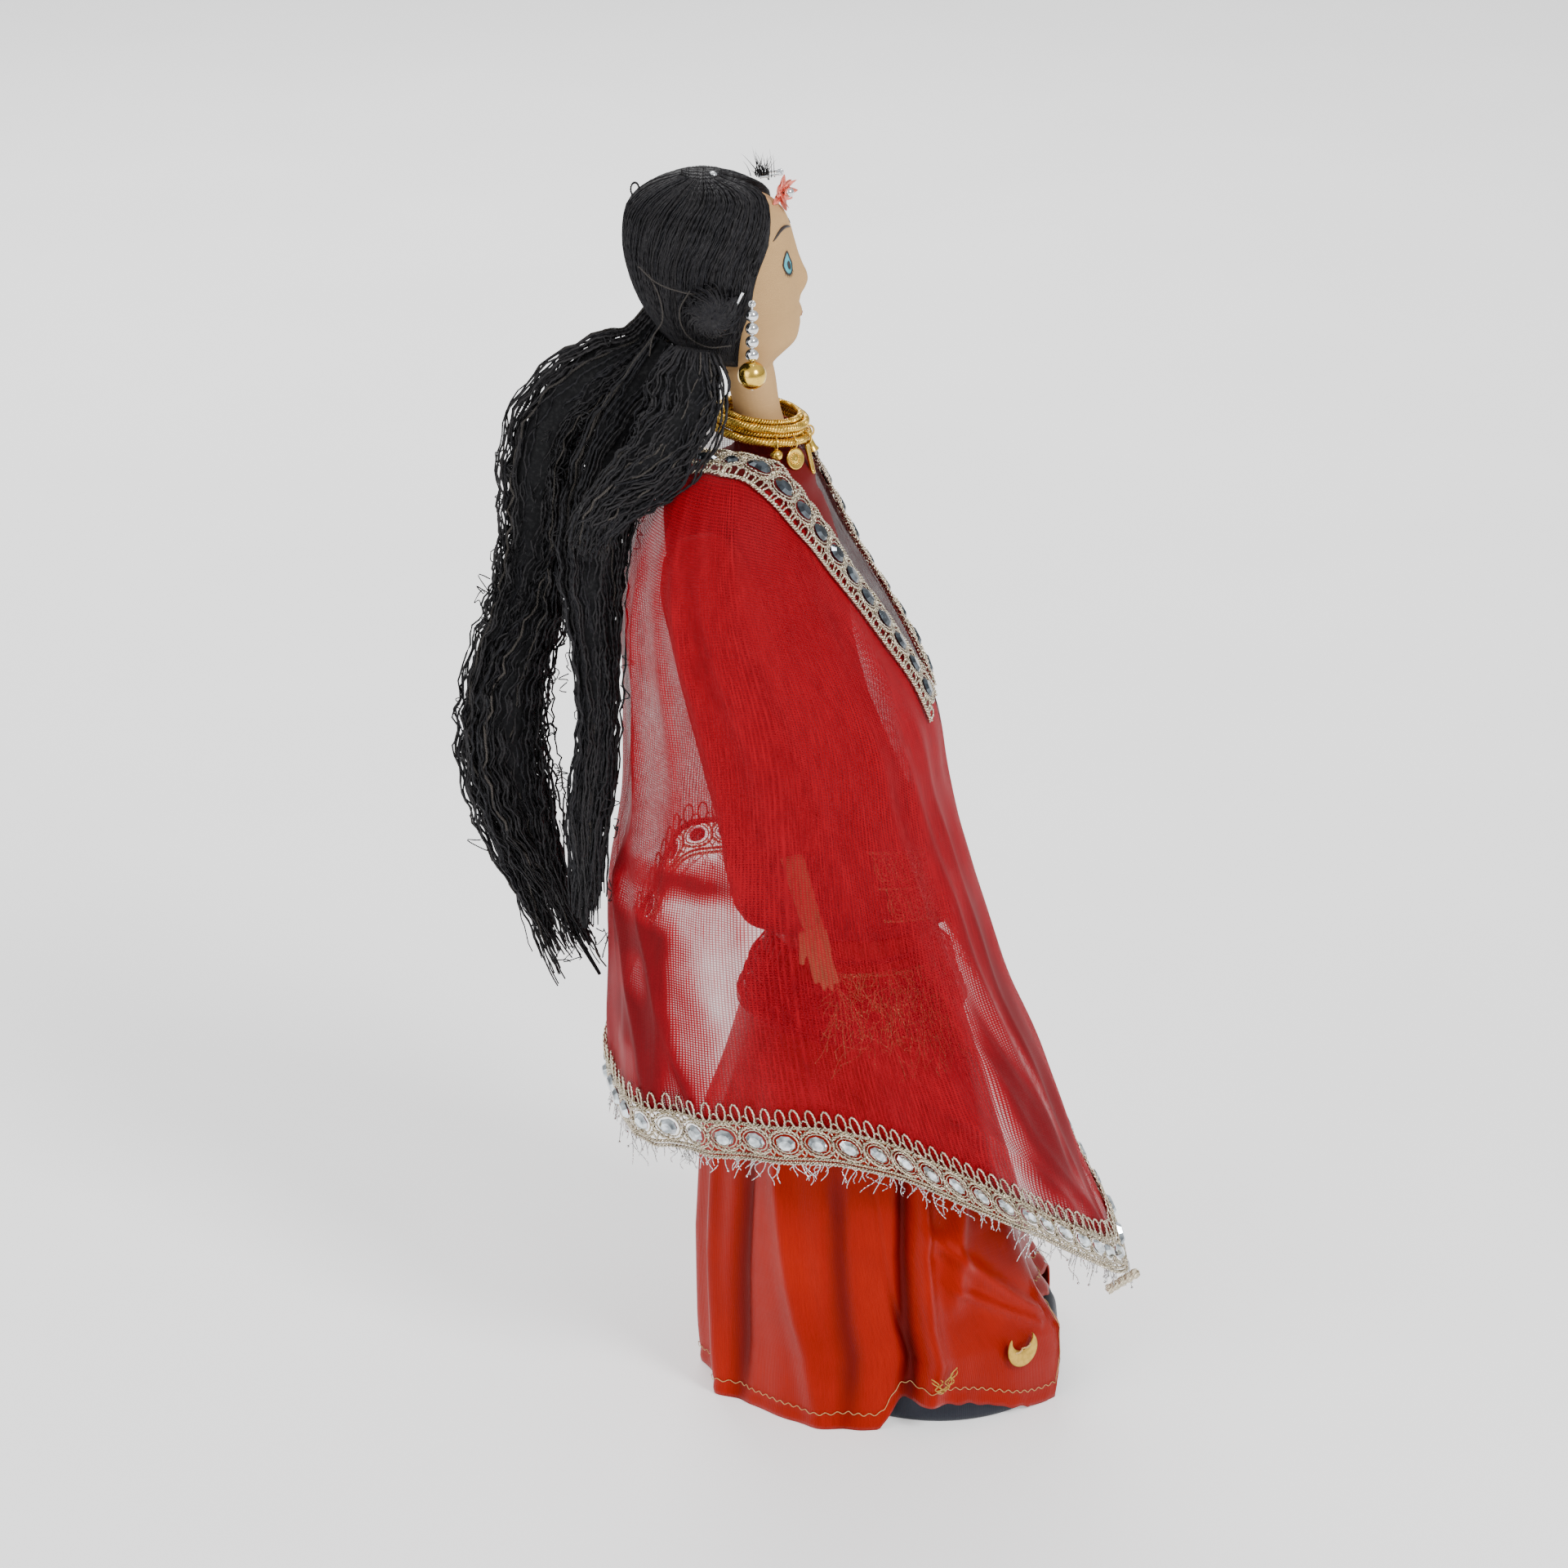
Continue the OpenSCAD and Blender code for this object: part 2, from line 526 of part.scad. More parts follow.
// A charm hangs from its ring, which goes round the lower rope at angle a, and leans on the chest
charm_ring = rope_d / 2 + ring_room + ring_wire_r;
charm_lean = 13;
module charm(a) {
    x = lower_d / 2 * cos(a);
    place = [axis_x(choker_z) + 0.8 + x * cos(choker_tilt), lower_d / 2 * sin(a),
        choker_z - lower_drop - x * sin(choker_tilt)];
    color([0.82, 0.65, 0.16]) translate(place) rotate([0, 0, a]) {
        rotate([90, 0, 0]) rotate_extrude() translate([charm_ring, 0]) circle(ring_wire_r);
        rotate([0, -charm_lean, 0]) translate([0, 0, -charm_ring]) children();
    }
}
module pendant_bead() { charm(-72) translate([0, 0, -1.8]) sphere(1.9); }
module pendant_disc() {
    charm(-48) translate([0, 0, -3.2]) rotate([0, 90, 0]) cylinder(h = 0.8, r = 3.3, center = true);
}
module pendant_bar() { charm(-20) translate([-0.4, -1.2, -8.6]) cube([0.8, 2.4, 8.8]); }
module pendant_bell() {
    charm(8) translate([0, 0, -3.9]) cylinder(h = 4, r1 = 2.1, r2 = 0.8);
}
module pendant_drop() { charm(34) translate([0, 0, -2.1]) sphere(2.2); }

// Earrings: a pin in the ear, an eye on it, and a wire through four silver beads and a gold one
pin_r = 0.4;
wire_r = wire_d / 2;
bead_step = silver_d + 0.08;
bead_top = ear_z - 1.6 - silver_d / 2;
gold_z = bead_top - 3 * bead_step - silver_d / 2 - gold_d / 2 - 0.06;
module at_ear(side) { translate([ear_x, side * ear_y, ear_z]) children(); }
module ear_pin(side) {
    reach = ear_y - head_width / 2 * head_col(0.46, 3) * 0.9 + 1;
    color([0.8, 0.8, 0.78]) at_ear(side) {
        rotate([side * 90, 0, 0]) translate([0, 0, -0.8]) cylinder(h = reach, r = pin_r);
        translate([0, side * 1.2, 0]) sphere(0.7);
    }
}
module ear_wire(side) {
    eye = pin_r + eye_gap + wire_r;
    low = gold_z - gold_d / 2 - 0.3;
    color([0.8, 0.8, 0.78]) {
        at_ear(side) rotate([90, 0, 0]) rotate_extrude() translate([eye, 0]) circle(wire_r);
        translate([ear_x, side * ear_y, low]) cylinder(h = ear_z - eye - low, r = wire_r);
    }
}
module bead(side, z, d, tint) {
    color(tint) translate([ear_x, side * ear_y, z]) difference() {
        sphere(d / 2);
        cylinder(h = d + 1, r = wire_r + eye_gap, center = true);
    }
}
module silver(side, k) { bead(side, bead_top - (k - 1) * bead_step, silver_d, [0.85, 0.86, 0.87]); }
module gold(side) { bead(side, gold_z, gold_d, [0.8, 0.62, 0.15]); }
module ear_pin_right() { ear_pin(-1); }
module ear_pin_left() { ear_pin(1); }
module ear_wire_right() { ear_wire(-1); }
module ear_wire_left() { ear_wire(1); }
module gold_bead_right() { gold(-1); }
module gold_bead_left() { gold(1); }
module silver_bead_right_1() { silver(-1, 1); }
module silver_bead_right_2() { silver(-1, 2); }
module silver_bead_right_3() { silver(-1, 3); }
module silver_bead_right_4() { silver(-1, 4); }
module silver_bead_left_1() { silver(1, 1); }
module silver_bead_left_2() { silver(1, 2); }
module silver_bead_left_3() { silver(1, 3); }
module silver_bead_left_4() { silver(1, 4); }

// Arms: drawn hanging down from the shoulder, then tilted forward about it
module at_shoulder(side) {
    translate([arm_x, side * arm_y, arm_z]) rotate([0, -arm_tilt, 0]) children();
}
arm_r = 5;
wrist_r = 3.2;
hand_l = 25;
function arm_u(s) = -s * (arm_l - hand_l);
module arm(side) {
    // the forearm lies in the front half of the sleeve
    steps = [0.02, 0.1, 0.3, 0.55, 0.8, 0.95, 1];
    color([0.89, 0.76, 0.61]) at_shoulder(side) loft([for (s = steps)
        let (r = mix(arm_r, wrist_r, s) * (s < 0.05 ? 0.5 : 1))
        oval(mix(0, 5, s), 0, arm_u(s) - 4, r, r * 0.9, 24)]);
}
// The sleeve is closed over the shoulder and open at the cuff
sleeve_form = [[0, 0.36, 0.5], [0.03, 0.6, 0.8], [0.1, 0.82, 1], [0.3, 0.96, 1], [0.6, 0.98, 1],
    [1, 1, 1]];
function sleeve_ring(t, extra) = let (z = 5 - (sleeve_l + 5) * t,
        w = cuff_w / 2 * lookup(t, [for (q = sleeve_form) [q[0], q[1]]]) - extra,
        h = sleeve_t / 2 * lookup(t, [for (q = sleeve_form) [q[0], q[2]]]) - extra)
    oval(mix(-1, 0, t), 0, z, w, h, 32);
module sleeve(side) {
    ts = [0, 0.03, 0.1, 0.3, 0.6, 0.8, 1];
    color([0.8, 0.08, 0.1]) at_shoulder(side) shell([for (t = ts) sleeve_ring(t, 0)],
        [for (t = ts) sleeve_ring(t, cloth_t * 0.8)]);
}
// A flat hand: a palm, four fingers that run back into it, and a thumb
palm_w = 8;
palm_l = hand_l * 0.6;
finger_w = 1.6;
finger_root = 3;                        // how far a finger runs back into the palm
tips = [[-2.7, 0.87], [-0.9, 0.98], [0.9, 1], [2.7, 0.93]];
module finger(l) {
    cube([finger_w, hand_t * 0.7, l - finger_w / 2]);
    translate([finger_w / 2, hand_t * 0.35, l - finger_w / 2]) rotate([90, 0, 0])
        cylinder(h = hand_t * 0.7, r = finger_w / 2, center = true);
}
module hand(side) {
    color([0.89, 0.76, 0.61]) at_shoulder(side) translate([5, 0, arm_u(1) - 4.2])
        rotate([180, 0, 0]) union() {
            translate([0, hand_t / 2, 0]) rotate([90, 0, 0]) linear_extrude(hand_t)
                polygon([[-3, 0], [3, 0], [palm_w / 2, 8], [palm_w / 2 - 0.3, palm_l],
                    [0.3 - palm_w / 2, palm_l], [-palm_w / 2, 8]]);
            for (t = tips) translate([t[0] - finger_w / 2, -hand_t * 0.35, palm_l - finger_root])
                finger(hand_l * t[1] - palm_l + finger_root);
            translate([-palm_w / 2 + 0.4, -hand_t * 0.35, 4.5]) rotate([0, -18, 0]) finger(9.5);
        }
}
module sleeve_right() { sleeve(-1); }
module sleeve_left() { sleeve(1); }
module arm_right() { arm(-1); }
module arm_left() { arm(1); }
module hand_right() { hand(-1); }
module hand_left() { hand(1); }

// Tresses: each is a soft rope through hand-picked places that follow the nape and the dowel.
// A place is height above the floor as a share of the nape's, reach behind the dowel there,
// sideways place and width share
nape_z = chin_z + 4;
rear_path = [[0.995, 32, 4, 0.45], [0.985, 38, 4, 0.7], [0.965, 48, 4, 0.82], [0.93, 61, 4, 0.86],
    [0.885, 68, 4, 0.84], [0.84, 72, 4, 0.84], [0.77, 80, 4, 0.98], [0.69, 93, 4, 1.04],
    [0.63, 99, 4, 1.04], [0.555, 98, 4, 1.04], [0.485, 92, 3, 0.84], [0.44, 87, 2, 0.5],
    [0.4, 82, 1, 0.2]];
inner_path = [[0.97, 36, -9, 0.5], [0.93, 43, -12, 0.8], [0.88, 49, -14, 0.95], [0.82, 57, -15, 1],
    [0.74, 62, -17, 1], [0.66, 66, -20, 0.8], [0.58, 74, -24, 1.04], [0.52, 77.5, -28, 1.04],
    [0.485, 80, -29, 0.85]];
side_path = [[1.02, 14, -24.5, 0.5], [1.0, 16, -25.5, 0.9], [0.965, 23, -29, 1], [0.93, 32, -31.5, 0.94],
    [0.89, 45, -33, 0.8], [0.858, 54, -32, 0.7], [0.835, 57, -31, 0.5]];
tress_n = 16;
function tress_ring(p, w, flat) = let (z = nape_z * p[0])
    oval(axis_x(z) - p[1], p[2], z, w / 2 * p[3], w / 2 * flat * p[3], tress_n);
module tress(path, w, flat) {
    color([0.1, 0.1, 0.13]) loft([for (p = path) tress_ring(p, w, flat)]);
}
module tress_rear() { tress(rear_path, rear_tress_w, 0.62); }
module tress_inner() { tress(inner_path, inner_tress_w, 0.6); }
module tress_side() { tress(side_path, side_tress_w, 0.5); }

// Crescent sequin near the hem, turning on its stitch
sequin_a = -46;
sequin_z = base_h - 1;
sequin_out = 1.2;
module at_sequin() {
    p = skirt_point(360 + sequin_a, sequin_z, 0);
    translate(p) rotate([0, 0, sequin_a - 6]) rotate([0, 84, 0]) children();
}
module hem_sequin() {
    color([0.85, 0.68, 0.2]) at_sequin() translate([0, 0, sequin_out]) linear_extrude(0.6)
        difference() {
            circle(sequin_d / 2);
            translate([-sequin_d * 0.62, 0]) circle(sequin_d * 0.42);
            circle(0.65);
        }
}
module sequin_stitch() {
    color([0.9, 0.85, 0.7]) at_sequin() translate([0, 0, 0.2]) cylinder(h = sequin_out + 1.2, r = 0.6);
}

base_disc();
stand_dowel();
torso();
blouse();
waistband();
skirt();
waist_sash();
veil();
upper_lace_right();
upper_lace_left();
lower_lace();
lace_end();
head();
hair_cap();
bun_right();
bun_left();
bun_cord_right();
bun_cord_left();
hair_pin();
hanging_loop();
tikka_hook();
tikka_star();
tikka_bead();
choker_upper();
choker_lower();
pendant_bead();
pendant_disc();
pendant_bar();
pendant_bell();
pendant_drop();
ear_pin_right();
ear_wire_right();
gold_bead_right();
silver_bead_right_1();
silver_bead_right_2();
silver_bead_right_3();
silver_bead_right_4();
ear_pin_left();
ear_wire_left();
gold_bead_left();
silver_bead_left_1();
silver_bead_left_2();
silver_bead_left_3();
silver_bead_left_4();
sleeve_right();
arm_right();
hand_right();
sleeve_left();
arm_left();
hand_left();
tress_rear();
tress_inner();
tress_side();
sequin_stitch();
hem_sequin();
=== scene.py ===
"""Standing cloth doll in a laced veil: the finished look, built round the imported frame.

Every shape is worked out in millimetres in the part's own frame and put into its mesh in metres.
The doll faces +X, its left hand is at +Y, and the origin is the centre of the stand's underside.
"""
import json
import math

import bmesh
import bpy
import numpy as np
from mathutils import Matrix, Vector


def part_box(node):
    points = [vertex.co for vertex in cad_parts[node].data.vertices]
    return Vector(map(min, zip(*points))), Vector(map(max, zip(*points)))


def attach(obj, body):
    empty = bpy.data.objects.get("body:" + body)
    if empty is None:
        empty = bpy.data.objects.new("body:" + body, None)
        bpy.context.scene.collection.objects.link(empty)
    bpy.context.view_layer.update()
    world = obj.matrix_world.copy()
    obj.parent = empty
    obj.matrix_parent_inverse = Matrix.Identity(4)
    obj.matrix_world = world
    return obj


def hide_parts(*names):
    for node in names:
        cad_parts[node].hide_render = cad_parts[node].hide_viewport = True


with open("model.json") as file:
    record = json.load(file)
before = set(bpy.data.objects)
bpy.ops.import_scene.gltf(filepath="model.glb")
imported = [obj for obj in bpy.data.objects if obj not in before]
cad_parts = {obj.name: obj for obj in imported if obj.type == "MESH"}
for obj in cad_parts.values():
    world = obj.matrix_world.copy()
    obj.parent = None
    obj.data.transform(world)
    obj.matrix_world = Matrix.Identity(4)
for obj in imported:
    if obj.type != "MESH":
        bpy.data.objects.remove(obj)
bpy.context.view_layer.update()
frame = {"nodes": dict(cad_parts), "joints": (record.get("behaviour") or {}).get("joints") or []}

bl_info = {
    "name": "Veiled Cloth Doll",
    "version": (1, 0, 0),
    "blender": (4, 5, 0),
    "location": "View3D > Sidebar > Doll",
    "description": "Builds a stuffed cloth doll with yarn hair, a laced veil and jewellery",
    "category": "Add Mesh",
}


def low(node, axis):
    """Lowest place of a CAD node along an axis, in millimetres."""
    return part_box(node)[0][axis] * 1000


def high(node, axis):
    """Highest place of a CAD node along an axis, in millimetres."""
    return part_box(node)[1][axis] * 1000


def box_mm(node):
    """Middle and half size of a CAD node's box, in millimetres."""
    lo, hi = (np.array(corner) * 1000 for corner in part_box(node))
    return (lo + hi) / 2, (hi - lo) / 2


def joint_mm(name):
    """Place of a joint in millimetres, and its axis."""
    joint = [j for j in frame["joints"] if j["name"] == name][0]
    return np.array(joint["pos_m"]) * 1000, np.array(joint["axis"], float)


# Places taken from the frame
BASE_H = high("base_disc", 2)
BASE_R = high("base_disc", 0)
HIP = low("torso", 2)
SHOULDER = high("torso", 2)
CROWN = high("head", 2)
SKIRT_TOP = high("skirt", 2)
BLOUSE_LOW = low("blouse", 2)
VEIL_TOP = high("veil", 2) + 1.0

# Sizes that the frame doesn't state, repeated from the part
LEAN = math.radians(10)
NECK_H = 27.0
CHIN = SHOULDER + NECK_H
HEAD_H = CROWN - CHIN
HEAD_DEPTH, HEAD_WIDTH = 44.0, 35.0
NAPE = CHIN + 4
CHEST_DEPTH, CHEST_WIDTH, CHEST_BACK = 50.0, 54.0, 9.0
LACE_W = 15.0
ARM_TILT = math.radians(13)
HAND_L, ARM_L, SLEEVE_L, CUFF_W, SLEEVE_T = 25.0, 144.0, 98.0, 31.0, 12.0


# ---- number helpers
def ease(t):
    """Smooth step from 0 to 1: 3t^2 - 2t^3."""
    t = np.clip(t, 0, 1)
    return t * t * (3 - 2 * t)


def mix(a, b, t):
    return a + (b - a) * t


def sind(a):
    return np.sin(np.radians(a))


def cosd(a):
    return np.cos(np.radians(a))


def ring_angles(count):
    """Angles spread evenly round a turn, in radians."""
    return np.linspace(0, 2 * np.pi, count, endpoint=False)


def ring_degrees(count):
    """The same in degrees."""
    return np.linspace(0, 360, count, endpoint=False)


def xyz(x, y, z):
    """Points from coordinates that are spread over each other."""
    return np.stack(np.broadcast_arrays(x, y, z), -1)


def unit(v):
    return v / np.maximum(np.linalg.norm(v, axis=-1, keepdims=True), 1e-9)


def bump_at(x, centre, width):
    """Bell of height 1: exp(-((x - centre) / width)^2)."""
    return np.exp(-((x - centre) / width) ** 2)


def curve(x, xs, ys):
    """Smooth line through points: cubic Hermite pieces whose slopes are the mean of their neighbours'."""
    xs, ys = np.asarray(xs, float), np.asarray(ys, float)
    slope = np.gradient(ys, xs)
    x = np.clip(x, xs[0], xs[-1])
    i = np.clip(np.searchsorted(xs, x) - 1, 0, len(xs) - 2)
    h = xs[i + 1] - xs[i]
    t = (x - xs[i]) / h
    return ((1 + 2 * t) * (1 - t) ** 2 * ys[i] + t * (1 - t) ** 2 * h * slope[i]
            + t * t * (3 - 2 * t) * ys[i + 1] + t * t * (t - 1) * h * slope[i + 1])


def column(x, table, k):
    """Value of column k of a table at x, along a smooth line through its rows."""
    return curve(x, [r[0] for r in table], [r[k] for r in table])


def axis_x(z):
    """The dowel leans back: x = -z tan(lean)."""
    return -z * math.tan(LEAN)


# ---- mesh helpers
def grid(n, m, wrap_n=False, wrap_m=False):
    """Quads of a grid of n rows by m columns, and the (column, row) number of each corner.

    A wrapped side joins its last line to its first."""
    i = np.arange(n if wrap_n else n - 1)[:, None]
    j = np.arange(m if wrap_m else m - 1)[None, :]
    i, j = np.broadcast_arrays(i, j)
    r, c = np.stack([i, i, i + 1, i + 1], -1), np.stack([j, j + 1, j + 1, j], -1)
    faces = (r % n) * m + c % m
    return faces.reshape(-1, 4), np.stack([c, r], -1).reshape(-1, 4, 2).astype(float)


class Shape:
    """Points and quads gathered from several surfaces, then put into one mesh."""

    def __init__(self):
        self.points, self.faces, self.uv, self.slots, self.count = [], [], [], [], 0

    def add(self, points, faces, uv, slot=0, flip=False):
        points = np.asarray(points, float).reshape(-1, 3)
        uv = np.asarray(uv, float).reshape(-1, 4, 2)
        if flip:
            faces, uv = faces[:, ::-1], uv[:, ::-1]
        self.points.append(points)
        self.faces.append(faces + self.count)
        self.uv.append(uv)
        self.slots.append(np.full(len(faces), slot))
        self.count += len(points)
        return self

    def surface(self, points, wrap_n=False, wrap_m=False, size=(1, 1), slot=0, flip=False):
        """A grid of points as one surface, with its UV running over size."""
        n, m = points.shape[:2]
        faces, cells = grid(n, m, wrap_n, wrap_m)
        scale = np.array([size[0] / (m if wrap_m else m - 1), size[1] / (n if wrap_n else n - 1)])
        return self.add(points, faces, cells * scale, slot, flip)

    def turned(self, profile, centre, spokes=48, axis=(0, 0, 1)):
        """A profile turned round an axis."""
        return self.surface(revolve(profile, centre, spokes, axis), wrap_m=True)

    def tubes(self, paths, radius, sides=6, closed=False, slot=0, first=0, ref=(0.31, 0.27, 0.91)):
        """Round tubes along many paths of equal point count.

        A ring of points stands square to each path: centre + r (cos t * side + sin t * side2).
        The UV is (path number + turn round the tube, length along it)."""
        paths = np.asarray(paths, float)
        if paths.ndim == 2:
            paths = paths[None]
        count, n, _ = paths.shape
        if closed:
            along = np.roll(paths, -1, 1) - np.roll(paths, 1, 1)
        else:
            along = np.gradient(paths, axis=1)
        along = unit(along)
        a = unit(np.cross(along, np.broadcast_to(np.asarray(ref, float), along.shape)))
        b = np.cross(along, a)
        t = 2 * np.pi * np.arange(sides) / sides
        r = np.broadcast_to(radius, (count, n))[..., None, None]
        ring = paths[:, :, None] + r * (np.cos(t)[:, None] * a[:, :, None] + np.sin(t)[:, None] * b[:, :, None])
        faces, cells = grid(n, sides, closed, True)
        step = np.linalg.norm(np.diff(paths, axis=1), axis=2).mean(1)
        shift = np.arange(count)
        all_faces = faces[None] + (shift * n * sides)[:, None, None]
        uv = np.stack([cells[None, ..., 0] / sides + (shift + first)[:, None, None],
                       cells[None, ..., 1] * step[:, None, None]], -1)
        self.add(ring, all_faces.reshape(-1, 4), uv, slot)
        if not closed and sides % 2 == 0:
            k = np.arange((sides - 2) // 2)
            lid = np.stack([0 * k, 2 * k + 1, 2 * k + 2, 2 * k + 3], -1)
            lids = np.concatenate([lid[:, ::-1], lid + (n - 1) * sides])
            lids = (lids[None] + (shift * n * sides)[:, None, None]).reshape(-1, 4) + self.count - ring.size // 3
            self.faces.append(lids)
            self.uv.append(np.zeros((len(lids), 4, 2)) + np.repeat(shift + first, len(lid) * 2)[:, None, None])
            self.slots.append(np.full(len(lids), slot))
        return self

    def make(self, name, body, materials, replaces=(), slot=None, flat=(), weld=0.0):
        """Puts the gathered surfaces into a mesh object that rides on its body."""
        mesh = bpy.data.meshes.new(name)
        points, faces = np.concatenate(self.points) / 1000, np.concatenate(self.faces)
        mesh.from_pydata(points.tolist(), [], faces.tolist())
        layer = mesh.uv_layers.new(name="UVMap")
        layer.data.foreach_set("uv", np.concatenate(self.uv).astype(np.float32).ravel())
        mesh.polygons.foreach_set("material_index", np.concatenate(self.slots).astype(np.int32))
        mesh.polygons.foreach_set("use_smooth", ~np.isin(np.concatenate(self.slots), flat))
        for material in materials:
            mesh.materials.append(material)
        mesh.update()
        obj = bpy.data.objects.new(name, mesh)
        bpy.context.scene.collection.objects.link(obj)
        if weld:
            work = bmesh.new()
            work.from_mesh(mesh)
            bmesh.ops.remove_doubles(work, verts=work.verts, dist=weld / 1000)
            bmesh.ops.recalc_face_normals(work, faces=work.faces)
            work.to_mesh(mesh)
            work.free()
        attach(obj, body)
        if replaces:
            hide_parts(*replaces)
        return obj


def shrink(ring, k, shift=(0, 0, 0)):
    """A ring drawn in to share k of its reach, towards its own middle or a place shifted from it."""
    middle = ring.mean(1, keepdims=True) + np.array(shift, float)
    return middle + (ring - middle) * k


def shell_points(outer, inner):
    """Rows of a closed wall: down the outside and back up the inside."""
    return np.concatenate([outer, inner[::-1]], 0)


def revolve(profile, centre, around=48, axis=(0, 0, 1)):
    """Profile points (r, h) turned round an axis: centre + h * axis + r (cos t * u + sin t * v)."""
    axis = unit(np.asarray(axis, float))
    u = unit(np.cross(axis, (0.9, 0.1, 0.3)) if abs(axis[2]) > 0.5 else np.cross(axis, (0, 0, 1)))
    v = np.cross(axis, u)
    t = 2 * np.pi * np.arange(around) / around
    spin = np.cos(t)[:, None] * u + np.sin(t)[:, None] * v
    profile = np.asarray(profile, float)
    return np.asarray(centre) + profile[:, 1, None, None] * axis + profile[:, 0, None, None] * spin


def ball_profile(r, bore=0.0, steps=24):
    """Half circle from pole to pole, cut short by a bore."""
    t0 = math.asin(min(0.99, bore / r))
    t = np.linspace(t0, np.pi - t0, steps)
    return np.stack([r * np.sin(t), -r * np.cos(t)], -1)


# ---- material helpers
def fill(tree, node, values):
    """Sets a node's sockets by name or number, with numbers or with other sockets."""
    for key, value in values.items():
        if isinstance(value, bpy.types.NodeSocket):
            tree.links.new(value, node.inputs[key])
        else:
            node.inputs[key].default_value = value


def add(tree, kind, values=None, **settings):
    """Adds a node with its settings and sockets."""
    made = tree.nodes.new(kind)
    for key, value in settings.items():
        setattr(made, key, value)
    fill(tree, made, values or {})
    return made


def math_node(tree, operation, a, b=None, clamp=False):
    values = {0: a} if b is None else {0: a, 1: b}
    return add(tree, "ShaderNodeMath", values, operation=operation, use_clamp=clamp).outputs[0]


def colour_mix(tree, share, a, b):
    made = add(tree, "ShaderNodeMix", data_type="RGBA")
    for name, value in (("Factor", share), ("A", a), ("B", b)):
        socket = [s for s in made.inputs if s.name == name and s.enabled][0]
        if isinstance(value, bpy.types.NodeSocket):
            tree.links.new(value, socket)
        else:
            socket.default_value = value
    return [s for s in made.outputs if s.enabled][0]


def noise(tree, coords, scale, detail=3.0, rough=0.55):
    return add(tree, "ShaderNodeTexNoise", {"Vector": coords, "Scale": scale, "Detail": detail,
                                            "Roughness": rough}).outputs["Fac"]


def ramp(tree, value, low_in, high_in, low_out=0.0, high_out=1.0):
    return add(tree, "ShaderNodeMapRange", {"Value": value, "From Min": low_in, "From Max": high_in,
                                            "To Min": low_out, "To Max": high_out}).outputs["Result"]


def scaled(tree, coords, x, y, z=1.0):
    return add(tree, "ShaderNodeMapping", {"Vector": coords, "Scale": (x, y, z)}).outputs[0]


def bumped(tree, height, strength, distance):
    return add(tree, "ShaderNodeBump", {"Height": height, "Strength": strength, "Distance": distance}).outputs[0]


def rgba(colour, k=1.0):
    return (min(1, colour[0] * k), min(1, colour[1] * k), min(1, colour[2] * k), 1.0)


def finish_material(name, build):
    """Makes a material once. build(tree) gives what each socket of its shader is set to."""
    made = bpy.data.materials.get(name)
    if made:
        return made
    made = bpy.data.materials.new(name)
    made.use_nodes = True
    tree = made.node_tree
    tree.nodes.clear()
    out = tree.nodes.new("ShaderNodeOutputMaterial")
    shader = tree.nodes.new("ShaderNodeBsdfPrincipled")
    fill(tree, shader, build(tree))
    tree.links.new(shader.outputs[0], out.inputs["Surface"])
    return made


def weave(tree, coords, threads, sharp=0.5):
    """Plain weave: sin(x) sin(y) of the thread counts, which stands up where warp and weft cross."""
    split = add(tree, "ShaderNodeSeparateXYZ", {0: coords})
    x = math_node(tree, "SINE", math_node(tree, "MULTIPLY", split.outputs[0], threads * math.pi))
    y = math_node(tree, "SINE", math_node(tree, "MULTIPLY", split.outputs[1], threads * math.pi))
    cross = math_node(tree, "MULTIPLY", x, y)
    return math_node(tree, "MULTIPLY_ADD", cross, sharp), x, y


def uv_coords(tree):
    return add(tree, "ShaderNodeTexCoord").outputs["UV"]


def object_coords(tree):
    return add(tree, "ShaderNodeTexCoord").outputs["Object"]


def cotton(name, colour, threads=2.2, shade=0.72, rough=0.85, sheen=0.05):
    """Plain woven cotton. UV is in millimetres; threads is threads a millimetre."""
    def build(tree):
        uv = uv_coords(tree)
        cross, _, _ = weave(tree, uv, threads)
        cloud = noise(tree, object_coords(tree), 45.0, 4.0)
        slub = noise(tree, scaled(tree, uv, 0.15, 2.5), 1.0, 2.0)
        tone = ramp(tree, cloud, 0.3, 0.7)
        base = colour_mix(tree, tone, rgba(colour, shade), rgba(colour, 1.08))
        base = colour_mix(tree, ramp(tree, cross, -0.4, 0.9, 0.0, 0.35), base, rgba(colour, shade * 0.7))
        base = colour_mix(tree, ramp(tree, slub, 0.55, 0.75, 0.0, 0.25), base, rgba(colour, 1.25))
        return {"Base Color": base, "Normal": bumped(tree, cross, 0.35, 0.0002), "Roughness": rough,
                "Sheen Weight": sheen, "Sheen Tint": rgba(colour, 1.2), "Specular IOR Level": 0.25}
    return finish_material(name, build)


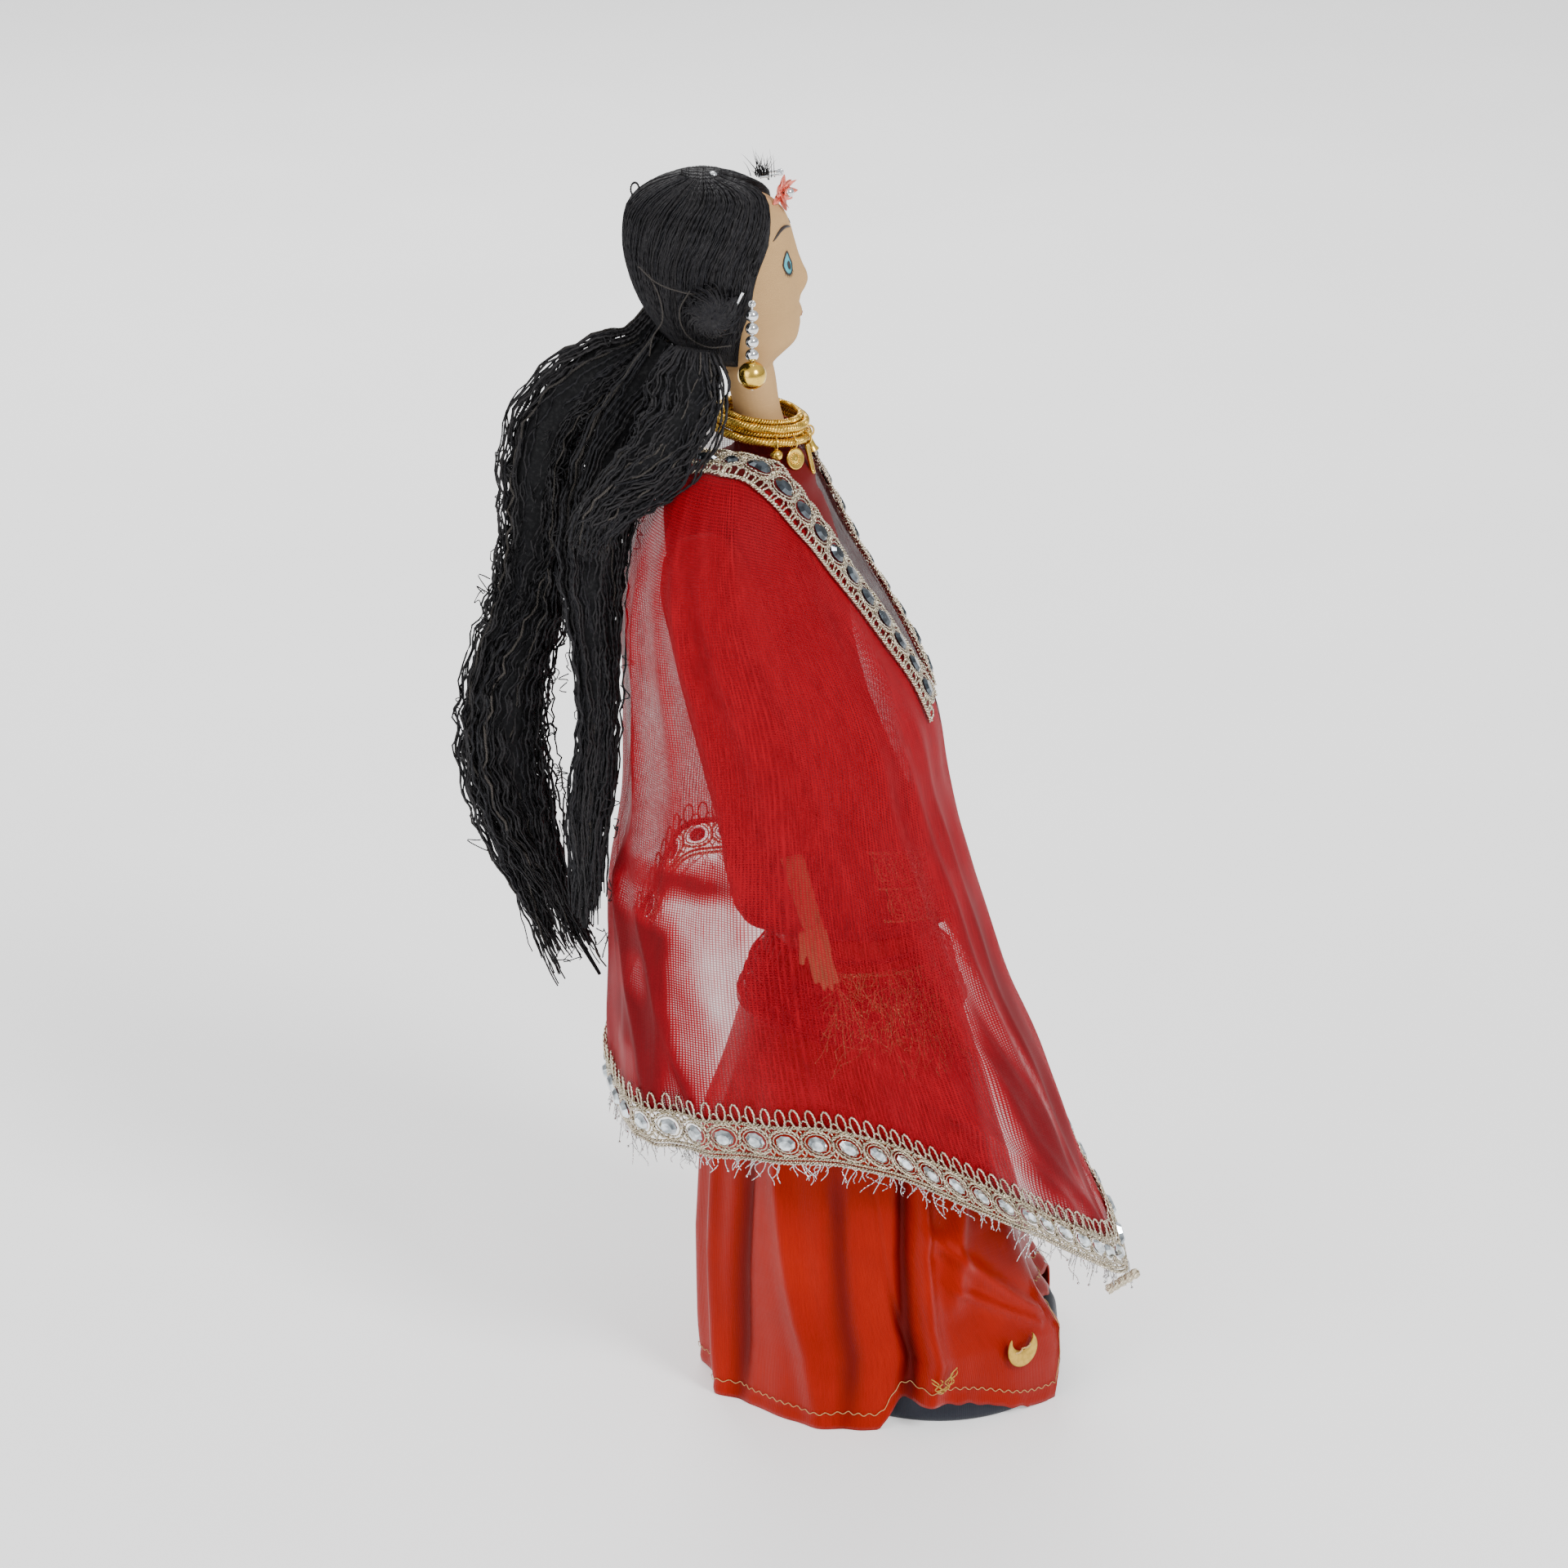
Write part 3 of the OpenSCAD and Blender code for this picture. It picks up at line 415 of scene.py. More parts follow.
def satin(name, colour, dark, threads=3.5, rough=0.34):
    """Satin: long floats give streaks along the cloth and a soft shine."""
    def build(tree):
        uv = uv_coords(tree)
        streak = noise(tree, scaled(tree, uv, 3.2, 0.09), 1.0, 3.0, 0.6)
        slub = noise(tree, scaled(tree, uv, 0.05, 1.4), 1.0, 2.0, 0.6)
        _, x, _ = weave(tree, uv, threads)
        cloud = noise(tree, object_coords(tree), 22.0, 3.0)
        base = colour_mix(tree, ramp(tree, streak, 0.3, 0.7), rgba(colour, 0.86), rgba(colour, 1.1))
        base = colour_mix(tree, ramp(tree, cloud, 0.35, 0.75, 0.0, 0.45), base, rgba(dark, 1.0))
        # Painted shade: the skirt's fold valleys and side seam are darkened towards the dark colour
        valley_shade = add(tree, "ShaderNodeAttribute", attribute_name="valley_shade").outputs["Fac"]
        base = colour_mix(tree, valley_shade, base, rgba(dark, 0.9))
        height = math_node(tree, "MULTIPLY_ADD", x, 0.25)
        height = math_node(tree, "ADD", height, math_node(tree, "MULTIPLY", streak, 0.9))
        height = math_node(tree, "ADD", height, math_node(tree, "MULTIPLY", slub, 0.6))
        return {"Base Color": base, "Normal": bumped(tree, height, 0.28, 0.0003),
                "Roughness": ramp(tree, streak, 0.25, 0.8, rough * 0.95, rough * 1.45),
                "Specular Tint": (*(0.15 + 0.85 * c / max(colour) for c in colour), 1.0), "Specular IOR Level": 0.42}
    return finish_material(name, build)


def chiffon(name, colour, cover, threads=1.7):
    """Sheer cloth: each thread covers, each hole between threads doesn't. The stored point attribute says where the
    cloth lies double or gathered:
    there it adds to the cover, and it darkens the colour as a painted shade."""
    def build(tree):
        uv = uv_coords(tree)
        _, x, y = weave(tree, uv, threads)
        thread = math_node(tree, "MAXIMUM", x, y)
        cloud = noise(tree, object_coords(tree), 60.0, 3.0)
        streak = noise(tree, scaled(tree, uv, 1.3, 0.08), 1.0, 2.0)
        fold = add(tree, "ShaderNodeAttribute", attribute_name="layers_and_shade").outputs["Fac"]
        alpha = ramp(tree, thread, -0.3, 1.0, cover * 0.66, cover * 1.2)
        alpha = math_node(tree, "ADD", alpha, ramp(tree, cloud, 0.35, 0.7, -0.03, 0.06))
        alpha = math_node(tree, "ADD", alpha, ramp(tree, streak, 0.3, 0.7, -0.04, 0.05))
        alpha = math_node(tree, "ADD", alpha, fold, clamp=True)
        base = colour_mix(tree, ramp(tree, streak, 0.3, 0.7), rgba(colour, 0.8), rgba(colour, 1.12))
        # Painted shade: where the cloth lies double or gathered, the colour is darkened towards 0.38 of itself
        base = colour_mix(tree, ramp(tree, fold, 0.34, 0.66, 0.0, 0.75), base, rgba(colour, 0.38))
        return {"Base Color": base, "Alpha": alpha, "Normal": bumped(tree, thread, 0.2, 0.0002), "Roughness": 0.6,
                "Sheen Weight": 0.04, "Sheen Tint": rgba(colour, 1.6), "Specular IOR Level": 0.1}
    return finish_material(name, build)


def thread_material(name, colour, dark, metallic, rough, ply=2.0, pitch=1.1, depth=0.6, vary=0.5):
    """Twisted thread. UV is (thread number + turn round it, length in mm): the plies are
    ridges where ply * turn + length / pitch is whole, and each thread has its own tone."""
    def build(tree):
        split = add(tree, "ShaderNodeSeparateXYZ", {0: uv_coords(tree)})
        around, along = split.outputs[0], split.outputs[1]
        number = math_node(tree, "FLOOR", math_node(tree, "ADD", around, 0.001))
        own = add(tree, "ShaderNodeTexWhiteNoise", {"W": number}, noise_dimensions="1D").outputs["Value"]
        phase = math_node(tree, "ADD", math_node(tree, "MULTIPLY", around, ply),
                          math_node(tree, "MULTIPLY", along, 1 / pitch))
        ridge = math_node(tree, "SINE", math_node(tree, "MULTIPLY", phase, 2 * math.pi))
        fuzz = noise(tree, object_coords(tree), 900.0, 2.0)
        base = colour_mix(tree, math_node(tree, "MULTIPLY", own, vary), rgba(colour), rgba(dark))
        # Painted shade: the grooves between the plies are mixed towards half the dark colour
        base = colour_mix(tree, ramp(tree, ridge, -1.0, -0.2, 0.55, 0.0), base, rgba(dark, 0.5))
        height = math_node(tree, "ADD", ridge, math_node(tree, "MULTIPLY", fuzz, 0.8))
        return {"Base Color": base, "Normal": bumped(tree, height, depth, 0.0002),
                "Roughness": ramp(tree, fuzz, 0.3, 0.7, rough * 0.8, rough * 1.25), "Metallic": metallic,
                "Specular IOR Level": 0.35}
    return finish_material(name, build)


def metal(name, colour, rough=0.16, wear=0.25):
    """Plated metal: even shine, faint scratches and small dull patches."""
    def build(tree):
        where = object_coords(tree)
        patch = noise(tree, where, 700.0, 3.0)
        scratch = noise(tree, scaled(tree, where, 2500.0, 300.0, 2500.0), 1.0, 2.0)
        base = colour_mix(tree, ramp(tree, patch, 0.45, 0.75, 0.0, 0.6), rgba(colour), rgba(colour, 0.62))
        return {"Base Color": base, "Normal": bumped(tree, scratch, 0.06, 0.0001),
                "Roughness": ramp(tree, patch, 0.35, 0.8, rough, rough + wear), "Metallic": 1.0}
    return finish_material(name, build)


def stone_material(name, colour, rough=0.06):
    """Foil-backed glass stone: a bright mirror with a tint that differs from facet to facet."""
    def build(tree):
        spot = noise(tree, object_coords(tree), 420.0, 1.0)
        base = colour_mix(tree, ramp(tree, spot, 0.35, 0.65), rgba(colour, 0.45), rgba(colour, 1.35))
        return {"Base Color": base, "Metallic": 0.85, "Roughness": rough, "Coat Weight": 0.6, "Coat Roughness": 0.03}
    return finish_material(name, build)


def paint(name, colour, rough=0.5):
    """Hand paint on cloth: slightly uneven, with the weave showing through."""
    def build(tree):
        where = object_coords(tree)
        uneven = noise(tree, where, 500.0, 3.0)
        grain = noise(tree, where, 2600.0, 2.0)
        base = colour_mix(tree, ramp(tree, uneven, 0.3, 0.7), rgba(colour, 0.8), rgba(colour, 1.15))
        return {"Base Color": base, "Normal": bumped(tree, grain, 0.2, 0.0001), "Roughness": rough}
    return finish_material(name, build)


def wood_material(name, colour):
    def build(tree):
        where = scaled(tree, object_coords(tree), 260.0, 260.0, 18.0)
        grain = noise(tree, where, 1.0, 5.0, 0.6)
        pore = noise(tree, scaled(tree, object_coords(tree), 1500.0, 1500.0, 60.0), 1.0, 2.0)
        base = colour_mix(tree, ramp(tree, grain, 0.3, 0.7), rgba(colour, 0.65), rgba(colour, 1.1))
        return {"Base Color": base, "Normal": bumped(tree, pore, 0.15, 0.0002), "Roughness": 0.6}
    return finish_material(name, build)


# ---- settings
def measure(label, what, value, least, most, kind=bpy.props.FloatProperty, **more):
    return kind(name=label, description=what, default=value, min=least, max=most, **more)


class DollSizes(bpy.types.PropertyGroup):
    """Sizes that a user would change, with lengths in millimetres."""
    yarn: measure("Yarn", "Radius of a tress strand", 0.37, 0.15, 0.8)
    cap_yarn: measure("Cap yarn", "Radius of a strand on the head", 0.26, 0.1, 0.6)
    cap_strands: measure("Cap strands", "Strands on each side of the parting", 270, 40, 500, bpy.props.IntProperty)
    tress_strands: measure("Tress strands", "Strands in the rear tress", 300, 40, 500, bpy.props.IntProperty)
    lace_thread: measure("Lace thread", "Radius of a lace thread", 0.34, 0.15, 0.6)
    ring_pitch: measure("Ring pitch", "Distance from one lace ring to the next", 9.4, 6.0, 14.0)
    fringe: measure("Fringe", "Tinsel filaments on the hem lace", 430, 0, 3000, bpy.props.IntProperty)
    veil_cover: measure("Veil cover", "Share of the light that one layer of the veil stops", 0.72, 0.1, 0.95,
                        subtype="FACTOR")


class DollColours(bpy.types.PropertyGroup):
    """Colours that a user would change."""
    def tint(label, what, value):
        return bpy.props.FloatVectorProperty(name=label, description=what, default=value, min=0, max=1,
                                             subtype="COLOR", size=3)
    skin: tint("Skin", "Colour of the head and hands", (0.56, 0.34, 0.15))
    veil: tint("Veil", "Colour of the sheer veil", (0.27, 0.001, 0.007))
    blouse: tint("Blouse", "Colour of the blouse and sleeves", (0.36, 0.001, 0.003))
    skirt: tint("Skirt", "Colour of the satin skirt", (0.31, 0.0075, 0.0005))
    # Darker patches that differ at random, and painted shade in the skirt's fold valleys and along its side seam
    skirt_dark_and_fold_shade: tint("Skirt shade", "Colour of the skirt's darker streaks", (0.085, 0.001, 0.001))
    hair: tint("Hair", "Colour of the yarn", (0.0045, 0.0045, 0.0075))
    hair_light: tint("Hair light", "Colour of the lightest strands", (0.020, 0.018, 0.019))
    silver_thread: tint("Silver thread", "Colour of the lace thread", (0.78, 0.70, 0.56))
    silver_dark: tint("Silver shade", "Colour of the lace's dull threads", (0.46, 0.38, 0.24))
    gold: tint("Gold", "Colour of the choker and charms", (0.86, 0.56, 0.10))
    silver: tint("Silver", "Colour of the beads", (0.82, 0.84, 0.86))
    stand: tint("Stand", "Colour of the stand's cover", (0.012, 0.013, 0.017))
    eye: tint("Eye", "Colour of the painted eye", (0.05, 0.38, 0.46))


# ---- cloth surfaces
TORSO = [(0, .55, .62), (.06, .72, .8), (.15, .76, .82), (.32, .62, .68), (.5, .72, .76), (.68, .94, .92),
         (.8, 1, 1), (.9, .92, .98), (.96, .66, .82), (.99, .42, .5), (1, .36, .36)]


def linear(x, table, k):
    return np.interp(x, [r[0] for r in table], [r[k] for r in table])


def torso_u(z):
    return (z - HIP) / (SHOULDER - HIP)


def torso_x(z):
    """The chest sits behind the dowel by a share that eases in and out."""
    u = torso_u(z)
    return axis_x(z) - CHEST_BACK * ease(u * 1.5 - 0.2) * (1 - ease((u - 0.9) * 10))


def torso_point(a, z, out=0.0, depth=0.0, width=0.0):
    """Ellipse round the torso's own centre: (x + rx cos a, ry sin a, z)."""
    u = torso_u(z)
    rx = CHEST_DEPTH / 2 * linear(u, TORSO, 1) + out + depth
    ry = CHEST_WIDTH / 2 * linear(u, TORSO, 2) + out + width
    return xyz(torso_x(z) + rx * cosd(a), ry * sind(a), z)


def blouse_point(a, z, out=0.0):
    """The torso's ellipse, let out towards the tail by an easing share."""
    u = torso_u(z)
    loose = ease((0.7 - u) / 0.55)
    crease = 0.5 * loose * sind(a * 9 + z * 2) + 0.35 * sind(a * 5 - z * 4) * bump_at(z, 215, 30)
    p = torso_point(a, z, out + 0.6 * (1 - ease((u - 0.86) / 0.05)) + 0.22 + crease, 14 * loose, 5 * loose)
    p[..., 0] -= 2 * loose
    return p


SEAM_AT = 276.5  # angle of the side seam
SKIRT_BACK = [(0, 0), (.12, .36), (.375, .92), (.68, 1.03), (1, 1)]
SKIRT_FRONT = [(0, 0), (.3, .3), (.6, .58), (.76, .8), (.84, .97), (.9, 1), (1, 1)]


def turn_of(a):
    """How far an angle is from the front, 0 to 180."""
    a = np.mod(a, 360)
    return np.where(a > 180, 360 - a, a)


def skirt_hem(a):
    """Hem height: cut up over the stand in front, lifted at the side seam."""
    front, b = turn_of(a), np.mod(a, 360)
    over = BASE_H + 1.5
    side = np.where(b > 180, 10 * ease((b - 265) / 8) * (1 - ease((b - 280) / 45)) + 0.2, 0.2)
    return np.where(front < 24, over, np.where(front < 30, mix(over, 2, ease((front - 24) / 6)), side))


def skirt_point(a, z, out=0.0):
    """Half ellipses that widen from the waist to the hem, with folds that deepen on the way down."""
    t = (SKIRT_TOP - z) / (SKIRT_TOP - 0.2)
    s = linear(t, SKIRT_BACK, 1)
    top_x = torso_x(SKIRT_TOP)
    back = mix(26 - top_x, BASE_R + 33, s)
    front = mix(26 + top_x, BASE_R + 4.2, linear(t, SKIRT_FRONT, 1))
    x0, rx = (front - back) / 2, (front + back) / 2 + out
    ry = mix(29, BASE_R + 5.7, np.minimum(1, s)) + out
    fold = ease(t) * (sind(a * 9 + 20) + 0.6 * sind(a * 14 + 70))
    fold = fold - 7 * ease((BASE_H + 36 - z) / 30) * (1 - ease((turn_of(a) - 14) / 11))
    return xyz(x0 + (rx + fold) * cosd(a), (ry + fold) * sind(a), z)


def skirt_creases(a, z):
    """Ridges and valleys of the hanging satin, each a bell across a slanting line."""
    b = np.mod(a, 360)
    d = np.zeros(np.broadcast(a, z).shape)
    for a0, z0, a1, z1, wide, tall in ((297, 92, 281, 12, 3.4, 2.2), (291, 92, 274, 12, 3.0, -1.6),
                                       (312, 76, 300, 46, 4.0, 1.3), (300, 62, 326, 34, 4.0, 1.2),
                                       (304, 44, 330, 26, 3.0, 0.8), (262, 80, 256, 10, 3.5, -1.1),
                                       (238, 90, 246, 8, 4.5, 1.4), (222, 90, 214, 8, 4.0, -1.3),
                                       (203, 90, 205, 6, 3.6, 1.4), (181, 95, 178, 6, 4.5, 1.3),
                                       (160, 95, 152, 6, 4.0, -1.2), (136, 95, 140, 6, 4.5, 1.3),
                                       (108, 95, 101, 8, 4.0, -1.2), (84, 90, 92, 8, 4.0, 1.4),
                                       (60, 90, 52, 10, 4.0, -1.0), (40, 80, 45, 14, 3.5, 1.0)):
        share = (z0 - z) / (z0 - z1)
        line = mix(a0, a1, share)
        d = d + tall * bump_at(b, line, wide) * ease((share + 0.5) * 1.6) * ease((1.35 - share) * 2)
    return 2.3 * d * ease((SKIRT_TOP - 20 - z) / 60)


VEIL = [(0, 60, 66, .94), (.08, 68, 62, .97), (.16, 78, 57, 1.02), (.28, 83, 51, 1.05), (.4, 77, 43, 1.03),
        (.5, 71, 40, 1), (.62, 60, 37, .98), (.7, 56, 37.5, .97), (.75, 54, 35, .97), (.8, 52, 30, .97),
        (.87, 47, 22, .95), (.93, 40, 17, .87), (.97, 33, 14, .72), (1, 26, 11, .54)]
VEIL_LOW, VEIL_HALF = 28.0, 54.0
HEM_FRONT, HEM_BACK, HEM_FAR = 44.0, 111.0, 166.0


def veil_point(a, z, out=0.0):
    """Cape: an ellipse with a squarer back, whose reach and width follow a table up its height."""
    u = (z - VEIL_LOW) / (VEIL_TOP - VEIL_LOW)
    back, front, wide = column(u, VEIL, 1), column(u, VEIL, 2), column(u, VEIL, 3)
    wave = np.clip((VEIL_TOP - 30 - z) / 160, 0, 1) * (0.9 * sind(a * 7 + 30) + 0.5 * sind(a * 12 + z / 3))
    x0, rx = axis_x(z) + (front - back) / 2, (front + back) / 2 + out + wave
    ry = VEIL_HALF * wide + out + wave
    c, s = cosd(a), sind(a)
    power = np.where(turn_of(a) > 90, 0.75, 1.0)
    c, s = np.sign(c) * np.abs(c) ** power, np.sign(s) * np.abs(s) ** power
    return xyz(x0 + rx * c, ry * s, z)


def veil_hem(a):
    """Hem height round the cape: low in front, higher behind, highest over the left arm."""
    b = np.mod(a, 360)
    near = mix(HEM_FRONT, HEM_BACK, ease((turn_of(b) + 4) / 100))
    far = np.where(b < 90, mix(HEM_FRONT, HEM_FAR, ease((b + 3) / 62)),
                   mix(HEM_FAR, HEM_BACK, ease((b - 115) / 62)))
    return np.where(b > 180, near, far)


def veil_neck(a):
    """Neckline height: it falls in front as exp(-angle / spread)."""
    t = turn_of(a)
    far = np.where(np.mod(a, 360) < 180, 7.0, 0.0) * ease((t - 4) / 22) * (1 - ease((t - 75) / 50))
    spread = np.where(np.mod(a, 360) < 180, 22 - 7 * ease(t / 12) * (1 - ease((t - 60) / 50)), 22)
    return np.minimum(VEIL_TOP - 1 - 92 * np.exp(-t / spread) + far, VEIL_TOP - 1)


# Folds of the veil: start angle and height, end angle and height, width in degrees, height in mm
VEIL_FOLDS = [(214, 296, 200, 150, 5, 2.0), (232, 300, 226, 120, 4.5, 1.6), (243, 298, 262, 120, 4.5, 2.4),
              (254, 294, 288, 112, 5, 2.2), (266, 288, 312, 100, 5, 2.4), (281, 276, 324, 96, 4.5, 2.0),
              (297, 262, 338, 84, 4.5, 2.2), (314, 244, 346, 70, 4, 1.8), (332, 226, 352, 60, 4, 1.5),
              (214, 180, 244, 112, 3.2, 2.4), (199, 196, 222, 110, 3.5, 2.0), (236, 176, 222, 110, 3, 1.8),
              (300, 120, 338, 60, 3.5, 2.0), (316, 130, 350, 52, 3.5, 1.8), (288, 150, 318, 76, 4, 1.6),
              (148, 296, 158, 150, 5, 2.0), (128, 300, 120, 160, 5, 1.8), (110, 298, 96, 170, 5, 2.0),
              (94, 292, 76, 172, 5, 1.9), (76, 282, 52, 160, 5, 2.0), (56, 266, 34, 130, 4.5, 2.0),
              (36, 244, 20, 90, 4, 1.8), (160, 210, 140, 140, 4, 1.8), (178, 290, 184, 118, 5, 1.8)]


def veil_fold(a, z):
    """Outward rise of the folds, and how dense the gathered cloth is there; that density also darkens the veil's colour
    as a painted shade.
    """
    b = np.mod(a, 360)
    rise = np.zeros(np.broadcast(a, z).shape)
    for a0, z0, a1, z1, wide, tall in VEIL_FOLDS:
        share = (z0 - z) / (z0 - z1)
        line = mix(a0, a1, share) + 2.5 * np.sin(share * 5 + a0)
        d = np.abs(b - line)
        d = np.minimum(d, 360 - d) / wide
        rise = rise + tall * np.exp(-d ** 1.6) * ease((share + 0.12) * 3) * ease((1.18 - share) * 3)
    fine = 0.25 * sind(a * 23 + z * 5) + 0.2 * sind(a * 17 - z * 7)
    return rise + fine * ease((VEIL_TOP - z) / 40), np.clip(rise / 2.4, 0, 1)


# Thin places of the veil, where one layer hangs clear: angle, height, half sizes, turn, depth
VEIL_THIN = [(224, 238, 34, 40, -0.25, 0.06), (243, 160, 9, 15, 0.35, 0.15), (236, 138, 9, 13, 0.2, 0.15),
             (337, 120, 6, 34, 0.28, 0.17), (342, 68, 12, 10, 0.5, 0.17), (272, 150, 15, 30, 0.3, 0.14),
             (300, 150, 14, 28, 0.3, 0.12)]
# Places where it lies double: the same numbers
VEIL_THICK = [(226, 186, 34, 5, -0.35, 0.30), (210, 166, 24, 7, -0.9, 0.26), (212, 138, 18, 9, -0.5, 0.22),
              (247, 190, 16, 6, -0.5, 0.26), (352, 120, 7, 80, 0.1, 0.24), (326, 110, 4, 50, 0.3, 0.14),
              (290, 250, 30, 40, 0.0, 0.05), (200, 225, 6, 60, 0.0, 0.14)]


def veil_edge(b):
    """1 where the near side of the veil hangs past the body, behind and in front, and 0 over it."""
    return ease((b - 172) / 12) * (1 - ease((b - 238) / 16) + ease((b - 316) / 14))


def veil_cover(a, z):
    """Extra cover of the veil: a base that falls in the thin places and grows where it lies double.
    Each place is exp(-(r^4)) with r the distance in a turned ellipse."""
    b = np.mod(a, 360)
    near = ease((b - 172) / 12)
    edge = veil_edge(b)
    cover = 0.02 + 0.02 * near + 0.34 * edge * ease((182 - z) / 20)
    cover = cover + 0.30 * ease((b - 314) / 12) * ease((z - 165) / 20) + 0.24 * (1 - ease((b - 40) / 30))
    for places, sign in ((VEIL_THIN, -1), (VEIL_THICK, 1)):
        for a0, z0, wide, tall, turn, depth in places:
            x, y = b - a0, z - z0
            x = x + turn * y
            r = (x / wide) ** 2 + (y / tall) ** 2
            cover = cover + sign * depth * np.exp(-r ** 2)
    return np.maximum(cover, -0.15)


def cloth_normal(a, z):
    run = veil_point(a + 0.6, z) - veil_point(a - 0.6, z)
    down = veil_point(a, z - 0.6) - veil_point(a, z + 0.6)
    return unit(np.cross(down, run))


class Band:
    """A strip of lace laid over cloth: rows of points along it, and (length, width) turned into places."""

    def __init__(self, points, normals, width):
        self.points, self.normals, self.width = points, normals, width
        middle = points[:, points.shape[1] // 2]
        self.s = np.concatenate([[0], np.cumsum(np.linalg.norm(np.diff(middle, axis=0), axis=1))])
        self.length = self.s[-1]

    def at(self, s, d, h=0.0):
        """Place at length s, distance d from the top edge and height h: bilinear between the rows."""
        s, d, h = np.broadcast_arrays(np.asarray(s, float), d, h)
        i = np.clip(np.searchsorted(self.s, s) - 1, 0, len(self.s) - 2)
        t = ((s - self.s[i]) / (self.s[i + 1] - self.s[i]))[..., None]
        k = self.points.shape[1] - 1
        e = (d - self.width[0]) / (self.width[1] - self.width[0]) * k
        j = np.clip(np.floor(e).astype(int), 0, k - 1)
        f = (e - j)[..., None]
        def blend(rows):
            return (rows[i, j] * (1 - t) * (1 - f) + rows[i + 1, j] * t * (1 - f)
                    + rows[i, j + 1] * (1 - t) * f + rows[i + 1, j + 1] * t * f)
        return blend(self.points) + h[..., None] * unit(blend(self.normals))


def lace_line(a):
    """Top edge of the neckline lace: above the cloth's edge, except where the V closes."""
    t = turn_of(a)
    return veil_neck(a) + 9.5 * ease((t - 4) / 16) - 2.5 * ease((t - 100) / 50)


def lace_place(a, z):
    """On the veil up to its top, then in over the shoulder towards the neck and a little up."""
    over = np.maximum(z - (VEIL_TOP - 1), 0)
    p = veil_point(a, np.minimum(z, VEIL_TOP - 1))
    p[..., 0] -= 0.8 * over * cosd(a)
    p[..., 1] -= 0.9 * over * sind(a)
    p[..., 2] += 0.42 * over
    return p


def neck_band(start, end, rows=280, across=11):
    """Each row runs over the cloth from the neckline, square to it, for the lace's width."""
    a = np.linspace(start, end, rows)
    z = lace_line(a)
    slope = (lace_line(a + 1) - lace_line(a - 1)) / 2
    level = np.minimum(z, VEIL_TOP - 2)
    e1 = (veil_point(a + 1, level) - veil_point(a - 1, level)) / 2
    e2 = veil_point(a, level - 1) - veil_point(a, level)
    run = e1 - slope[:, None] * e2
    turn_rate, drop_rate = (e2 * run).sum(-1), -(e1 * run).sum(-1)
    step = np.linalg.norm(turn_rate[:, None] * e1 + drop_rate[:, None] * e2, axis=-1)
    side = np.where(slope * turn_rate + drop_rate > 0, 1, -1) / step
    d = np.linspace(0, LACE_W, across)
    s = side[:, None] * d
    b, y = a[:, None] + turn_rate[:, None] * s, z[:, None] - drop_rate[:, None] * s
    over = lace_place(b + 0.6, y) - lace_place(b - 0.6, y)
    down = lace_place(b, y - 0.6) - lace_place(b, y + 0.6)
    normal = unit(np.cross(down, over))
    rise, _ = veil_fold(b, y)
    rise = rise * ease((VEIL_TOP - y) / 12)
    return Band(lace_place(b, y) + normal * (0.7 + rise * 0.8)[..., None], normal, (0, LACE_W))


def hem_band(rows=720, across=12):
    """Rows run straight down over the hem, from above the edge to the lace's lower edge."""
    a = np.linspace(0, 360, rows)
    d = np.linspace(-7, LACE_W, across)
    b, y = np.broadcast_arrays(a[:, None], veil_hem(a)[:, None] + 2 - d)
    rise, _ = veil_fold(b, np.maximum(y, veil_hem(b)))
    normal = cloth_normal(b, y)
    return Band(veil_point(b, y, 0) + normal * (0.7 + rise * 0.8)[..., None], normal, (-7, LACE_W))


def ring_threads(band, centres, d, half_s, half_d, h, turns=48, twist=0, gap=0.0, phase=0.0):
    """Closed loops: s = centre + half_s cos t, d = middle + half_d sin t, weaving over and under.
    A twisted thread winds round that line: reach + gap cos(twist t), height + gap sin(twist t)."""
    t = np.linspace(0, 2 * np.pi, turns, endpoint=False)
    wind = twist * t + phase
    return band.at(centres[:, None] + (half_s + gap * np.cos(wind)) * np.cos(t),
                   d + (half_d + gap * np.cos(wind)) * np.sin(t), h + 0.3 * np.sin(2 * t) + gap * np.sin(wind))


def wire_pair(band, s, d, h, gap, pitch):
    """Two threads twisted round each other along the band."""
    t = 2 * np.pi * s / pitch
    return np.stack([band.at(s, d + gap * np.cos(t + k * np.pi), h + gap * np.sin(t + k * np.pi)) for k in (0, 1)])


def stones(shape, band, centres, d, long, wide, tall, slot, sides=10):
    """Cut stones: a girdle, a crown of flat facets and a table, one for each ring."""
    t = 2 * np.pi * np.arange(sides) / sides
    levels = ((0.9, 0.0), (1.0, 0.35), (0.62, 1.0), (0.02, 1.02))
    for number, centre in enumerate(centres):
        turned = t + 0.3 * number
        rows = [band.at(centre + long / 2 * k * np.cos(turned), d + wide / 2 * k * np.sin(turned), 0.45 + tall * h)
                for k, h in levels]
        shape.surface(np.stack(rows), wrap_m=True, slot=slot, flip=True)


# ---- head surface
HEAD = [(0, .17, .2, .5), (.05, .25, .3, .66), (.11, .33, .39, .77), (.19, .355, .47, .86), (.28, .365, .54, .92),
        (.38, .375, .59, .97), (.5, .38, .62, 1), (.6, .38, .63, 1), (.7, .375, .62, .98), (.78, .36, .6, .93),
        (.86, .32, .55, .83), (.92, .25, .47, .69), (.965, .14, .36, .49), (1, -.02, .2, .22)]
